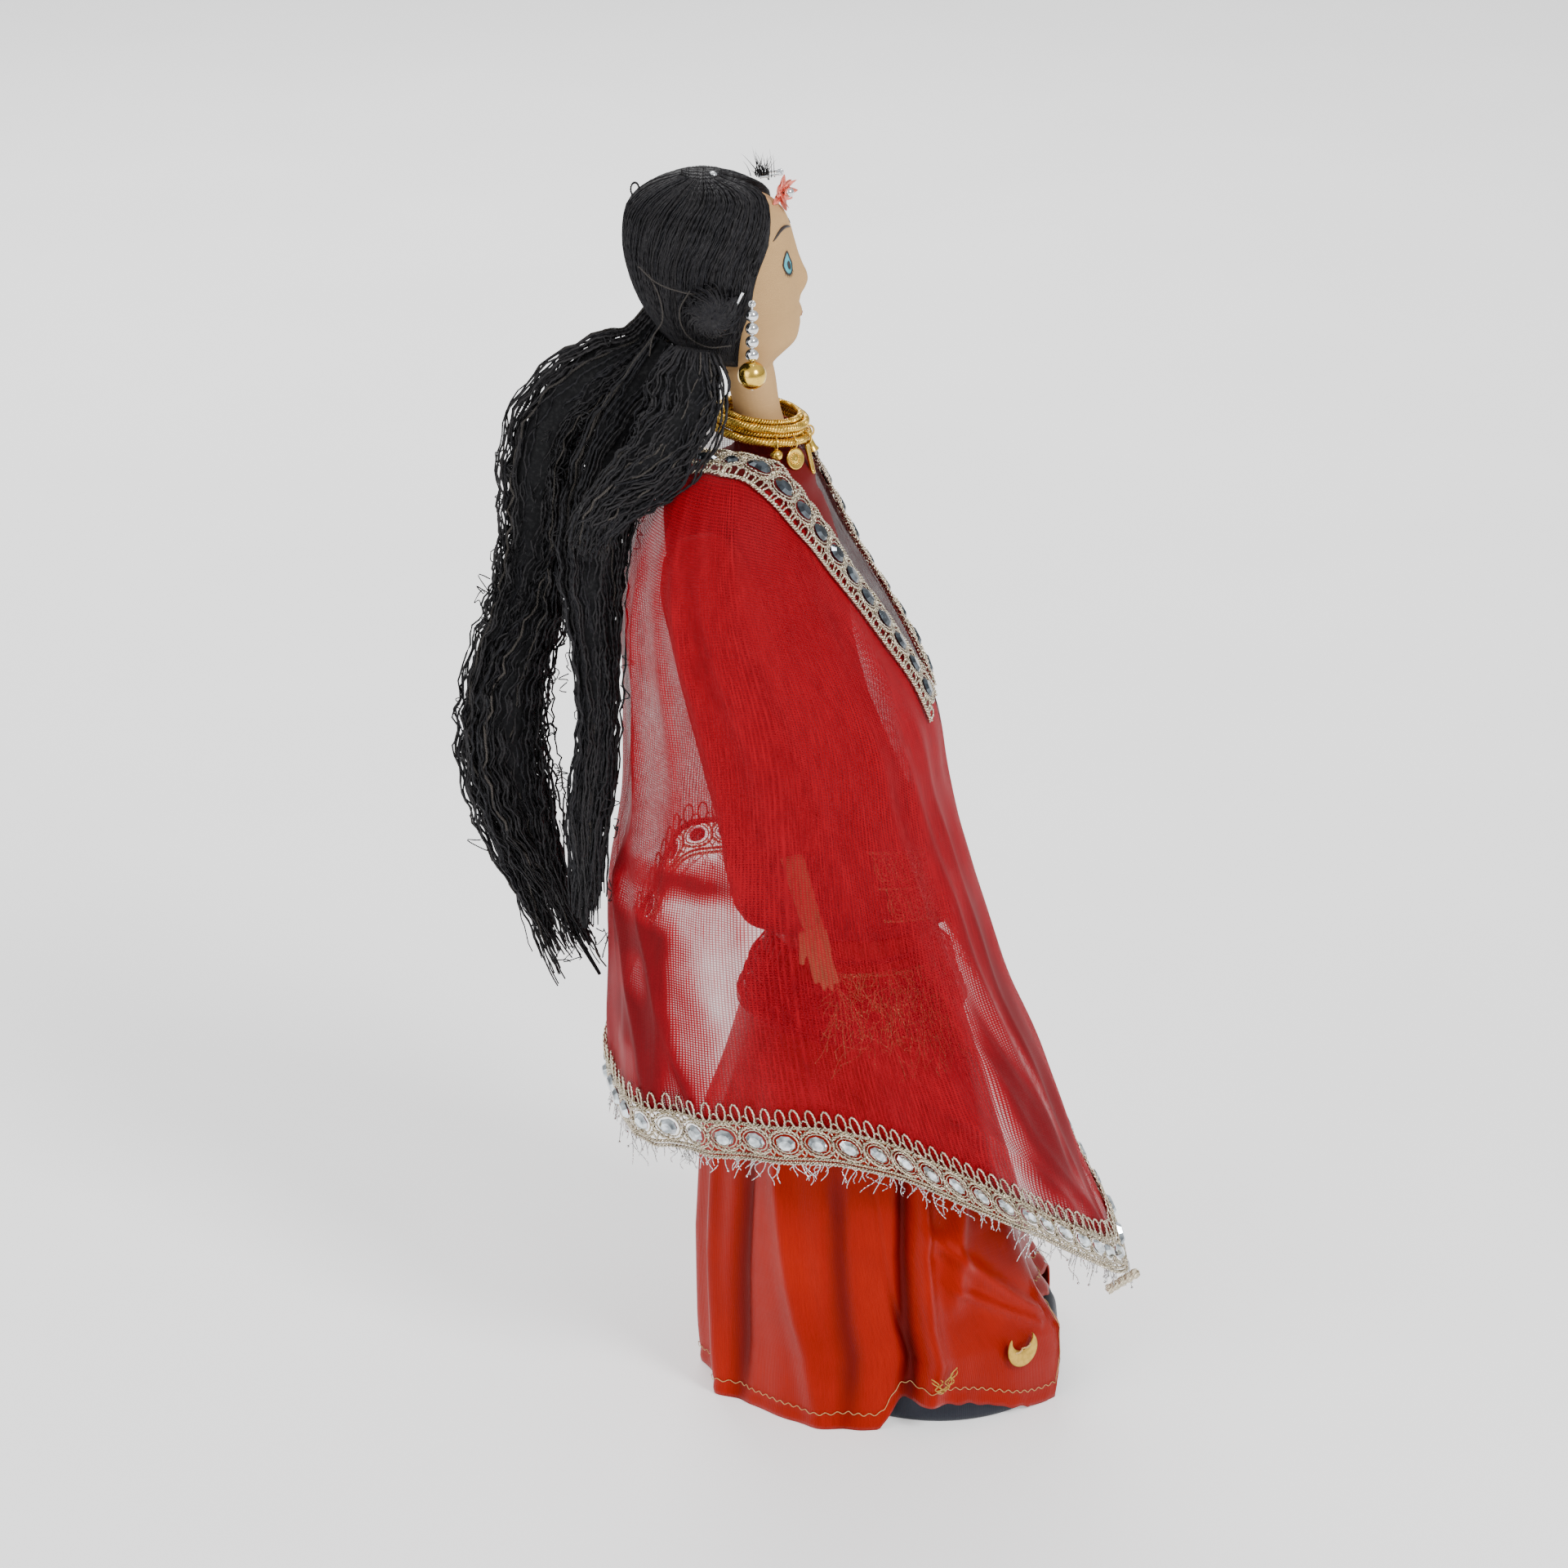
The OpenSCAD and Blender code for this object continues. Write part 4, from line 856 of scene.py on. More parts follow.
# Front reach of the face at its middle, in mm, against the height share
FACE = [(0, 5.0), (.03, 6.6), (.07, 9.2), (.12, 12.4), (.2, 14.6), (.29, 15.7), (.36, 16.1), (.45, 16.6), (.5, 16.9),
        (.6, 17.3), (.68, 17.5), (.77, 17.2), (.87, 15.4), (.92, 12.6), (.965, 6.6), (1, -.9)]
# Height shares of the painted features
LIPS_U, EYE_U, BROW_U = .27, .59, .76
# How far the nose's ridge stands out
NOSE = [(.33, 0), (.38, .5), (.42, 1.9), (.46, 2.75), (.5, 2.7), (.55, 1.75), (.62, .75), (.7, .15), (.78, 0)]


def head_point(u, a, back_t=0.0, side_t=0.0, up=0.0, face=False):
    """Half ellipses in front and behind, whose reach follows a table up the head."""
    z = CHIN + HEAD_H * u
    front = HEAD_DEPTH * column(u, HEAD, 1) + back_t * 0.5 * (1 - cosd(turn_of(a) / 2))
    if face:
        front = mix(HEAD_DEPTH * column(u, HEAD, 1), column(u, FACE, 1), ease((100 - turn_of(a)) / 60))
    back = HEAD_DEPTH * column(u, HEAD, 2) + back_t
    x0, rx = axis_x(z) + 2.6 + (front - back) / 2, (front + back) / 2
    ry = HEAD_WIDTH / 2 * column(u, HEAD, 3) + side_t
    out = 0
    if face:
        b = turn_of(a)
        out = column(np.clip(u, .33, .78), NOSE, 1) * bump_at(b, 0, 8.5)
        out = out + 0.5 * bump_at(u, .285, .028) * bump_at(b, 0, 12) - 0.35 * bump_at(u, .335, .016) * bump_at(b, 0, 9)
        out = out - 0.6 * bump_at(u, .6, .06) * bump_at(b, 27, 12) + 0.5 * bump_at(u, .42, .1) * bump_at(b, 42, 16)
        out = out - 0.3 * bump_at(u, .25, .014) * bump_at(b, 0, 10)
    return xyz(x0 + (rx + out) * cosd(a), ry * sind(a), z + up)


def face_spot(u0, a0, p, q, lift=0.12):
    """Place on the face: p mm round the head and q mm up from height share u0 and angle a0."""
    a, u = a0 + np.asarray(p) / 0.36, u0 + np.asarray(q) / HEAD_H
    here = head_point(u, a, face=True)
    round_ = head_point(u, a + 0.5, face=True) - head_point(u, a - 0.5, face=True)
    up = head_point(u + 0.005, a, face=True) - head_point(u - 0.005, a, face=True)
    return here + unit(np.cross(round_, up)) * np.asarray(lift)[..., None]


BUN_R = 6.6
CAP_OPEN = [(.1, 96), (.26, 82), (.42, 68), (.56, 60), (.72, 44), (.84, 30), (.93, 14), (1, 5)]


def cap_point(u, share, side, depth=0.0, crown=1.0):
    """Hair surface at height share u. share runs from the front edge (0) to the back (1); crown
    below 1 carries the row over the top towards the parting."""
    a = mix(column(u, CAP_OPEN, 1), 180, share)
    p = head_point(u, a, 7 * (1 - 0.5 * u * u) - depth, 4.6 - depth, 2.8 * ease(u * 2) - depth)
    p[..., 1] *= crown * side
    p[..., 2] += (1 - crown ** 2) * 1.6
    return p


# ---- yarn
def bundle(rng, guide, half, count, kink=0.5, spin=0.6, ends=None, fray=0.0, waves=14.0, locks=21, short=0.12):
    """Strands that follow a guide line in locks.

    A lock keeps its place (radius and angle) in the guide's ellipse, and drifts and turns slowly.
    A strand keeps its own place in its lock, turns round it, and carries a crimp of sine waves that
    it partly shares with the lock. Strands stop at their own length. ends spreads the tips."""
    n = len(guide)
    own = rng.integers(0, locks, count)
    def per_lock(a, b):
        return rng.uniform(a, b, (locks, 1))[own]
    def per_strand(a, b):
        return rng.uniform(a, b, (count, 1))
    reach = 1 - short * per_lock(0, 1) * 0.7 - short * per_strand(0, 1) * 0.5
    t = np.linspace(0, 1, n)[None] * reach
    i = np.clip(np.floor(t * (n - 1)).astype(int), 0, n - 2)
    f = (t * (n - 1) - i)[..., None]
    along = unit(np.gradient(guide, axis=0))
    x = unit(np.cross(np.broadcast_to([0.0, 1.0, 0.0], along.shape), along))
    y = np.cross(along, x)
    centre, x, y, size = (v[i] * (1 - f) + v[i + 1] * f for v in (guide, x, y, half))
    length = np.linalg.norm(np.diff(guide, axis=0), axis=1).sum()
    r = np.sqrt((np.arange(locks) + 0.6) / locks)[own][:, None] * (1 + 0.10 * np.sin(
        2 * np.pi * (per_lock(0.5, 1.6) * t + per_lock(0, 1))))
    ang = (np.arange(locks) * 2.4)[own][:, None] + spin * t + 0.5 * np.sin(
        2 * np.pi * (per_lock(0.4, 1.3) * t + per_lock(0, 1)))
    thick = per_lock(0.28, 0.42) * (1 + 0.25 * np.sin(2 * np.pi * (per_lock(1, 3) * t + per_lock(0, 1))))
    q, turn = np.sqrt(per_strand(0.02, 1)), per_strand(0, 2 * np.pi) + per_lock(-5, 5) * t
    flat = 0.5 + 0.5 * size[..., 1] / size[..., 0]
    u = (r * np.cos(ang) * (1 - thick) + thick * q * np.cos(turn)) * size[..., 0]
    v = r * np.sin(ang) * (size[..., 1] - thick * flat * size[..., 0]) + thick * flat * q * np.sin(turn) * size[..., 0]
    for amount, wave, shared in ((1.3, waves, True), (0.8, waves * 0.55, True), (0.55, waves * 0.6, False),
                                 (0.4, waves * 0.3, False)):
        for axis in (0, 1):
            pick = per_lock if shared else per_strand
            rate = pick(0.75, 1.3) * length / wave
            ripple = kink * amount * np.sin(2 * np.pi * rate * t + pick(0, 2 * np.pi)) * pick(0.3, 1.2) * ease(t * 8)
            u, v = (u + ripple, v) if axis == 0 else (u, v + ripple)
    if ends is not None:
        goal = np.asarray(ends, float)[(np.arange(locks) % len(ends))][own]
        pull = ease((t - 0.68) / 0.32)
        u, v = mix(u, u * 0.3 + goal[:, :1], pull), mix(v, v * 0.35 + goal[:, 1:2], pull)
    if fray:
        loose = rng.normal(0, 1, (2, count, 1)) * fray * ease((t / reach - 0.85) / 0.15) ** 2
        u, v = u + loose[0], v + loose[1]
    return centre + 1.12 * (u[..., None] * x + v[..., None] * y)


def smooth_line(points, count):
    """Smooth line through given points, spaced evenly in length."""
    points = np.asarray(points, float)
    s = np.concatenate([[0], np.cumsum(np.linalg.norm(np.diff(points, axis=0), axis=1))])
    fine = np.linspace(0, s[-1], 400)
    line = np.stack([curve(fine, s, points[:, k]) for k in range(points.shape[1])], -1)
    s = np.concatenate([[0], np.cumsum(np.linalg.norm(np.diff(line[:, :3], axis=0), axis=1))])
    even = np.linspace(0, s[-1], count)
    return np.stack([np.interp(even, s, line[:, k]) for k in range(line.shape[1])], -1)


REAR = [(1.03, 22, 4, .5), (.995, 32, 4, .7), (.985, 38, 4, .85), (.965, 48, 4, 1.0), (.93, 60, 4, 1.1),
        (.885, 67, 4, 1.12), (.84, 71, 4, 1.1), (.77, 79, 4, 1.15), (.69, 92, 4, 1.2), (.63, 97, 4, 1.25),
        (.555, 96, 4, 1.25), (.485, 91, 3, 1.0), (.44, 87, 2, .6), (.4, 82, 1, .35)]
INNER = [(1.01, 22, -7, .7), (.97, 31, -10, 1.1), (.93, 41, -12, 1.25), (.88, 49, -14, 1.3), (.82, 56, -15, 1.2),
         (.74, 61, -17, 1), (.66, 66, -20, .8), (.58, 74, -24, 1.04), (.52, 77.5, -28, 1.04), (.485, 80, -29, .85)]
SIDE = [(1.02, 13.5, -24.5, .65), (1.0, 16, -25.5, .98), (.965, 21.5, -29, 1.1), (.93, 30, -31.5, 1.05),
        (.89, 45, -33, .8), (.858, 54, -32, .7), (.835, 57, -31, .5)]


def tress_guide(path, width, flat, count):
    """Guide line and half sizes of a tress: (dowel - reach, sideways, height share of the nape)."""
    rows = [(axis_x(NAPE * h) - reach, y, NAPE * h, width / 2 * k, width / 2 * flat * k) for h, reach, y, k in path]
    line = smooth_line(rows, count)
    return line[:, :3], line[:, 3:]


# ---- materials of this doll
def colours():
    return bpy.context.scene.doll_colours


def sizes():
    return bpy.context.scene.doll_sizes


def yarn_black():
    return thread_material("Black yarn", tuple(colours().hair), tuple(colours().hair_light), 0.0, 0.72,
                           ply=1.0, pitch=2.6, depth=0.8, vary=0.9)


def faded_yarn():
    return thread_material("Faded yarn", (0.060, 0.052, 0.046), (0.020, 0.018, 0.017), 0.0, 0.9)


def skin_cotton():
    return cotton("Skin cotton", tuple(colours().skin), 2.6, 0.9, 0.85, 0.04)


def red_thread():
    return cotton("Red thread", (0.5, 0.02, 0.03), 3.0)


def cream_thread():
    return thread_material("Cream thread", (0.82, 0.55, 0.22), (0.6, 0.33, 0.12), 0.0, 0.7)


def orange_satin():
    return satin("Orange satin", tuple(colours().skirt), tuple(colours().skirt_dark_and_fold_shade))


def red_chiffon():
    return chiffon("Red chiffon", tuple(colours().veil), sizes().veil_cover)


def silver_lace_thread():
    return thread_material("Silver lace thread", tuple(colours().silver_thread), tuple(colours().silver_dark),
                           1.0, 0.27, ply=1.0, pitch=1.2, depth=0.6, vary=0.5)


def gold_metal():
    return metal("Gold plate", tuple(colours().gold), 0.14, 0.2)


def silver_metal():
    return metal("Silver plate", tuple(colours().silver), 0.1, 0.2)


def gold_cord():
    return thread_material("Gold twist", tuple(colours().gold), (0.55, 0.30, 0.03), 0.95, 0.26,
                           ply=1.0, pitch=1.5, depth=0.5, vary=0.4)


def set_cad(node, material):
    """Gives a carried-over CAD node its finish."""
    obj = frame["nodes"][node]
    if not obj.material_slots:
        obj.data.materials.append(material)
    for s in obj.material_slots:
        s.material = material


def store_on_points(obj, name, value, rest):
    """Stores a number at each point of a mesh; the points past the end of value get rest."""
    value = np.ravel(value)
    value = np.concatenate([value, np.full(len(obj.data.vertices) - len(value), rest)])
    obj.data.attributes.new(name, "FLOAT", "POINT").data.foreach_set("value", value.astype(np.float32))


# ---- operators
class DOLL_OT_stand(bpy.types.Operator):
    """Round stand wrapped in black satin, and the dowel in it"""
    bl_idname = "doll.stand"
    bl_label = "Stand"

    def execute(self, context):
        black = satin("Black satin", tuple(colours().stand), (0.004, 0.004, 0.006), 3.0, 0.42)
        a = ring_degrees(240)
        profile = [(0.01, 0), (12, 0), (28, 0), (37.5, 0), (39.4, .25), (40, 1.2), (39.85, 5), (39.4, 12), (39, 17),
                   (38.7, 20), (37.8, 22.4), (36.2, 23.6), (34, 24), (24, 24), (12, 24), (4.3, 24)]
        rows = smooth_line([(r, h, 0) for r, h in profile], 70)
        r, h = rows[:, :1], rows[:, 1:2]
        side = ease(h / 3) * ease((BASE_H - h) / 3)
        pleat = -0.28 * side * (0.5 + 0.5 * sind(a * 31 + 6 * h)) * (0.6 + 0.4 * sind(a * 5))
        top = -0.25 * ease((h - BASE_H + 0.5) / 0.5) * (0.5 + 0.5 * sind(a * 17)) * ease((r - 8) / 24)
        reach = np.maximum(r + pleat, 0)
        points = xyz(reach * cosd(a), reach * sind(a), h + top)
        hole = np.broadcast_to(h + top, points.shape[:2]) > 5
        points[..., 0] += np.where(hole, axis_x(h) * (1 - ease((r - 4.3) / 12)), 0)
        shape = Shape().surface(points, wrap_m=True, size=(250, 110))
        shape.make("stand_cover", "stand", [black], ["base_disc"], "black_satin", weld=0.02)
        set_cad("stand_dowel", wood_material("Dowel wood", (0.62, 0.40, 0.20)))
        return {"FINISHED"}


class DOLL_OT_body(bpy.types.Operator):
    """Stuffed torso under the clothes"""
    bl_idname = "doll.body"
    bl_label = "Torso"

    def execute(self, context):
        skin = skin_cotton()
        z = np.linspace(HIP, SHOULDER, 80)[:, None]
        a = ring_degrees(96)
        puff = -0.12 * (bump_at(np.mod(a, 180), 90, 3)) - 0.05 * (1 + sind(z * 40 + a))
        rows = torso_point(a, z, puff)
        rows = np.concatenate([shrink(rows[:1], 0.01), shrink(rows[:1], 0.5), rows,
                               shrink(rows[-1:], 0.5), shrink(rows[-1:], 0.01)])
        shape = Shape().surface(rows, wrap_m=True, size=(150, 145))
        body = shape.make("stuffed_torso", "stand", [skin], ["torso"], "skin_cloth", weld=0.05)
        return {"FINISHED"}


class DOLL_OT_blouse(bpy.types.Operator):
    """Red cotton blouse with a hem at its tail"""
    bl_idname = "doll.blouse"
    bl_label = "Blouse"

    def execute(self, context):
        # The blouse is the sleeves' red cotton at 0.42 of its colour: a copy of the same cloth in painted shade
        red = cotton("Red cotton in painted shade", tuple(0.42 * c for c in colours().blouse), 2.0, 0.75, 0.8, 0.05)
        z = np.concatenate([np.linspace(BLOUSE_LOW, 302, 110), np.linspace(303, SHOULDER - 0.6, 12)])[:, None]
        a = ring_degrees(192)
        outer, inner = blouse_point(a, z, 0.6), blouse_point(a, z, 0.0)
        # Collar: the cloth turns in over the shoulder and stands up round the neck
        k = np.linspace(0, 1, 14)[1:, None]
        level = mix(SHOULDER - 0.2, SHOULDER + 8.5, k ** 1.6)
        reach = mix(1.0, 0.0, ease(k * 2.2))
        ruck = 0.25 * sind(a * 13 + 300 * k) * ease(k * 3)
        def collar(start, out):
            ring = xyz(axis_x(level) + (7.9 + out + ruck) * cosd(a), (8.5 + out + ruck) * sind(a), level)
            away = start[-1:] - [axis_x(SHOULDER), 0, SHOULDER]
            return ring * (1 - reach[..., None]) + reach[..., None] * ([axis_x(SHOULDER), 0, SHOULDER + 0.4] + away)
        outer, inner = np.concatenate([outer, collar(outer, 0.55)]), np.concatenate([inner, collar(inner, 0.0)])
        shape = Shape().surface(shell_points(outer, inner), wrap_n=True, wrap_m=True, size=(190, 300), flip=True)
        stitch = np.linspace(0, 360, 721)
        dash = blouse_point(stitch, np.full_like(stitch, BLOUSE_LOW + 3.2), 0.66)
        shape.tubes(dash, 0.1 + 0.16 * (np.arange(len(stitch)) % 6 > 1), 4, slot=1)
        blouse = shape.make("blouse_cloth", "stand", [red, red_thread()], ["blouse"], "red_cotton")
        roll_z = np.linspace(low("waistband", 2), high("waistband", 2), 24)[:, None]
        k = (roll_z - roll_z[0]) / (roll_z[-1] - roll_z[0])
        bulge = 1.2 * (1 - (2 * k - 1) ** 4) - 0.2 + 0.35 * sind(a * 24) * np.sin(np.pi * k)
        roll = xyz(torso_x(SKIRT_TOP) + (24.6 + bulge) * cosd(a), (27.6 + bulge) * sind(a), roll_z)
        inside = torso_point(a, roll_z, 0.4)
        band = Shape().surface(shell_points(roll, inside), wrap_n=True, wrap_m=True, size=(170, 20), flip=True)
        orange = orange_satin()
        made = band.make("gathered_waistband", "stand", [orange], ["waistband"], "orange_satin")
        return {"FINISHED"}


class DOLL_OT_skirt(bpy.types.Operator):
    """Satin skirt with a side seam, hem stitches and loose gold thread ends"""
    bl_idname = "doll.skirt"
    bl_label = "Skirt"

    def execute(self, context):
        orange = orange_satin()
        cream = cream_thread()
        golden = thread_material("Gold thread end", (0.68, 0.42, 0.08), (0.5, 0.28, 0.05), 0.3, 0.5)
        a = ring_degrees(360)
        t = np.linspace(0, 1, 110)[:, None]
        hem = skirt_hem(a) + 0.25 * (sind(a * 37) + sind(a * 53)) * (skirt_hem(a) > 1)
        z = mix(SKIRT_TOP, hem, t)
        gather = 0.5 * sind(a * 48) * (1 - ease((SKIRT_TOP - z) / 26))
        roll = 0.35 * bump_at(z, hem + 1.0, 1.6) - 0.3 * bump_at(z, hem + 4.6, 0.9)
        seam = -0.9 * bump_at(np.mod(a, 360), SEAM_AT, 0.9) * ease((SKIRT_TOP - z) / 60)
        out = skirt_creases(a, z) + gather + roll + seam
        clear = ease((z - 26) / 6)
        out = np.where(turn_of(a) < 34, np.maximum(out, -0.2) * (0.4 + 0.6 * clear), out)
        outer, inner = skirt_point(a, z, out), skirt_point(a, z, out - 0.7)
        shape = Shape().surface(shell_points(outer, inner), wrap_n=True, wrap_m=True, size=(390, 330), flip=True)
        # Zigzag stitch a little above the hem: d = 0.7 sign(sin)
        run = np.linspace(0, 360, 1441)
        level = skirt_hem(run) + 5.6 + 0.45 * np.sin(run * np.pi / 180 * 110)
        rise = skirt_creases(run, level) + 0.35
        rise = np.where(turn_of(run) < 34, np.maximum(rise - 0.35, -0.2) * 0.5 + 0.3, rise)
        shape.tubes(skirt_point(run, level, rise), 0.12, 4, slot=1)
        rng = np.random.default_rng(5)
        ends = []
        for k in range(7):
            b = 282 + 3.2 * rng.random()
            s = np.linspace(0, 1, 16)
            lean = rng.uniform(-2, 6)
            zz = 16 + 6.5 * s * rng.uniform(0.7, 1.1)
            ends.append(skirt_point(b + lean * s + 0.8 * np.sin(s * 9 + k), zz,
                                    skirt_creases(b + lean * s, zz) + 0.5 + 1.6 * np.sin(s * 2.4) + 0.4 * k / 7))
        shape.tubes(np.array(ends), 0.18, 6, slot=2)
        skirt = shape.make("satin_skirt", "stand", [orange, cream, golden], ["skirt"], "orange_satin")
        # Painted shade for the satin: darker in the fold valleys and along the side seam
        depth = (np.clip(-skirt_creases(a, z) / 3.2, 0, 1)
                 + 0.5 * bump_at(np.mod(a, 360), SEAM_AT, 1.6) * ease((60 - z) / 20))
        store_on_points(skirt, "valley_shade", np.clip([depth, depth[::-1]], 0, 1), 0.0)
        return {"FINISHED"}


class DOLL_OT_sash(bpy.types.Operator):
    """Sheer sash round the waist, with a laced and tinselled end in front"""
    bl_idname = "doll.sash"
    bl_label = "Waist sash"

    def execute(self, context):
        sheer = red_chiffon()
        tinsel = thread_material("Gold tinsel", (0.86, 0.62, 0.28), (0.5, 0.3, 0.1), 0.9, 0.25)
        a = ring_degrees(360)
        z0, z1 = low("waist_sash", 2), high("waist_sash", 2)
        z = np.linspace(z1, z0, 40)[:, None]
        ruck = 0.7 * np.sin(z * 1.6 + 3 * np.sin(np.radians(a * 2))) + 0.5 * np.sin(z * 2.9 + np.radians(a * 3))
        rows = skirt_point(a, z, 1.9 + ruck)
        shape = Shape().surface(rows, wrap_m=True, size=(210, 30), flip=True)
        sash = shape.make("sheer_sash", "stand", [sheer], ["waist_sash"], "red_chiffon")
        store_on_points(sash, "layers_and_shade", [], 0.22)
        # Crossing filaments, each a short wavy line that stands off the skirt
        rng = np.random.default_rng(11)
        n, s = 420, np.linspace(0, 1, 8)
        a0 = rng.uniform(258, 338, (n, 1))
        z0 = rng.normal(148, 9, (n, 1)) - (a0 - 258) * 0.16
        da, dz = rng.normal(0, 5, (n, 1)), rng.normal(-3, 4.5, (n, 1))
        aa = a0 + da * s + rng.normal(0, 1.2, (n, 1)) * np.sin(s * 5)
        zz = z0 + dz * s + rng.normal(0, 1.0, (n, 1)) * np.sin(s * 4)
        off = rng.uniform(3.2, 6.0, (n, 1)) + rng.normal(0, 0.8, (n, 1)) * s
        made = Shape().tubes(skirt_point(aa, np.clip(zz, 118, SKIRT_TOP - 1), off), 0.11, 4)
        made.make("sash_tinsel", "stand", [tinsel], (), "silver_lace")
        # Laced end of the sash over the blouse's front: rows of loops crossed by slanting threads
        band_a = np.linspace(292, 342, 60)
        drop = np.linspace(0, 24, 9)
        level = (189 - 0.10 * (band_a - 292))[:, None] - drop
        points = blouse_point(band_a[:, None], level, 1.1)
        up = blouse_point(band_a[:, None], level + 1, 1.1) - points
        side = blouse_point(band_a[:, None] + 1, level, 1.1) - points
        patch = Band(points, unit(np.cross(side, up)), (0, 24))
        lace = Shape()
        length = patch.length
        s = np.linspace(0, length, 200)
        for k, d in enumerate((1.0, 12.0, 22.5)):
            lace.tubes(wire_pair(patch, s, d, 0.5, 0.3, 2.0), 0.24, 6, first=4 * k)
        for k, d in enumerate((6.4, 17.4)):
            spots = np.arange(4.2, length - 3, 7.6) + 1.5 * k
            for r in (4.3, 3.2, 1.6):
                lace.tubes(ring_threads(patch, spots, d, r * 0.85, r, 0.5, 36), 0.24, 4, closed=True, first=10)
        t = np.linspace(0, 1, 12)
        slant = np.arange(1.0, length - 4, 3.1)[:, None]
        lace.tubes(patch.at(slant + 3 * t, 1 + 21.5 * t, 0.7 + 0.3 * np.sin(9 * t)), 0.18, 4, first=20)
        golden = thread_material("Pale gold lace", (0.74, 0.52, 0.26), (0.5, 0.32, 0.14), 0.8, 0.3)
        lace.make("sash_lace", "stand", [golden], (), "silver_lace")
        return {"FINISHED"}


class DOLL_OT_veil(bpy.types.Operator):
    """Sheer veil worn as a cape, with diagonal folds"""
    bl_idname = "doll.veil"
    bl_label = "Veil"

    def execute(self, context):
        sheer = red_chiffon()
        a = ring_degrees(420)
        t = np.linspace(0, 1, 210)[:, None]
        z = mix(veil_neck(a), veil_hem(a), t)
        rise, thick = veil_fold(a, z)
        normal = cloth_normal(a, z)
        points = veil_point(a, z) + normal * (rise + 0.1)[..., None]
        roll = bump_at(z, veil_hem(a) + 0.6, 0.9)
        shape = Shape().surface(points, wrap_m=True, size=(420, 300), flip=True)
        edge, (edge_rise, _) = veil_hem(a) + 0.4, veil_fold(a, veil_hem(a))
        shape.tubes(veil_point(a, edge) + cloth_normal(a, edge) * (edge_rise + 0.1)[..., None], 0.35, 6, closed=True)
        veil = shape.make("sheer_veil", "stand", [sheer], ["veil"], "red_chiffon")
        # Cover from thin and double places, fold ridges and the rolled hem; where it is high, the chiffon also darkens
        # its colour as a painted shade
        gathered = mix(0.09, 0.30, veil_edge(a)) * thick ** 1.3
        store_on_points(veil, "layers_and_shade", veil_cover(a, z) + gathered + 0.35 * roll, 0.5)
        return {"FINISHED"}


class DOLL_OT_upper_lace(bpy.types.Operator):
    """Lace along the neckline: linked rings of silver thread, mirror stones, ladder loops and braids"""
    bl_idname = "doll.upper_lace"
    bl_label = "Neckline lace"

    def execute(self, context):
        mats = [silver_lace_thread(), stone_material("Smoky mirror stone", (0.06, 0.075, 0.09))]
        w = sizes().lace_thread
        for side, start, end in (("right", -172, -3), ("left", 172, 3)):
            band = neck_band(start, end)
            length = band.length
            pitch = sizes().ring_pitch
            centres = np.arange(pitch * 0.5, length - 3, pitch)
            shape = Shape()
            first = 0
            for k in (0, 1):
                shape.tubes(ring_threads(band, centres, 6.4, 5.1, 4.5, 0.75, 60, 11, 0.32, k * np.pi), w * 0.95, 4,
                            closed=True, first=first)
                first += len(centres)
            shape.tubes(ring_threads(band, centres, 6.4, 3.85, 3.1, 0.7, 40), w * 0.85, 4, closed=True, first=first)
            first += len(centres)
            stones(shape, band, centres, 6.4, 7.0, 4.3, 1.5, 1)
            s = np.linspace(0, length, int(length * 3.2))
            shape.tubes(wire_pair(band, s, 14.2, 0.5, 0.42, 2.2), w * 1.05, 6, first=first)
            shape.tubes(wire_pair(band, s, 1.5 - 1.0 * np.abs(np.cos(np.pi * s / pitch)), 0.5, 0.3, 2.2), w * 0.85, 6,
                        first=first + 4)
            # Ladder loops from the rings down to the braid, each a narrow U
            loops = np.arange(1.8, length - 1, 3.7)
            t = np.linspace(0, np.pi, 12)
            u = band.at(loops[:, None] + 1.3 * np.cos(t) * (1 + 0.15 * np.sin(t)), 13.9 - 3.5 * np.sin(t) ** 0.6,
                        0.45 + 0.35 * np.sin(t))
            shape.tubes(u, w, 6, first=first + 8)
            # Short bars between the rings and the upper edge
            bars = np.arange(pitch, length - 2, pitch)
            t = np.linspace(0, 1, 8)
            for lean in (-1.5, 0, 1.5):
                p = band.at(bars[:, None] + lean * t, 1.2 + 2.6 * t, 0.4 + 0.3 * np.sin(np.pi * t))
                shape.tubes(p, w * 0.8, 6, first=first + 8 + len(loops))
                p = band.at(bars[:, None] + lean * t, 10.9 - 2.2 * t, 0.4 + 0.3 * np.sin(np.pi * t))
                shape.tubes(p, w * 0.8, 6, first=first + 9 + len(loops))
            # Fine loops that link each ring to the next
            t = ring_angles(20)
            knot = band.at(bars[:, None] + 0.9 * np.cos(t), 6.3 + 1.9 * np.sin(t), 0.95)
            shape.tubes(knot, w * 0.75, 6, closed=True, first=first + 20)
            shape.make(f"neckline_lace_{side}", "stand", mats, [f"upper_lace_{side}"], "silver_lace", flat=[1])
        return {"FINISHED"}


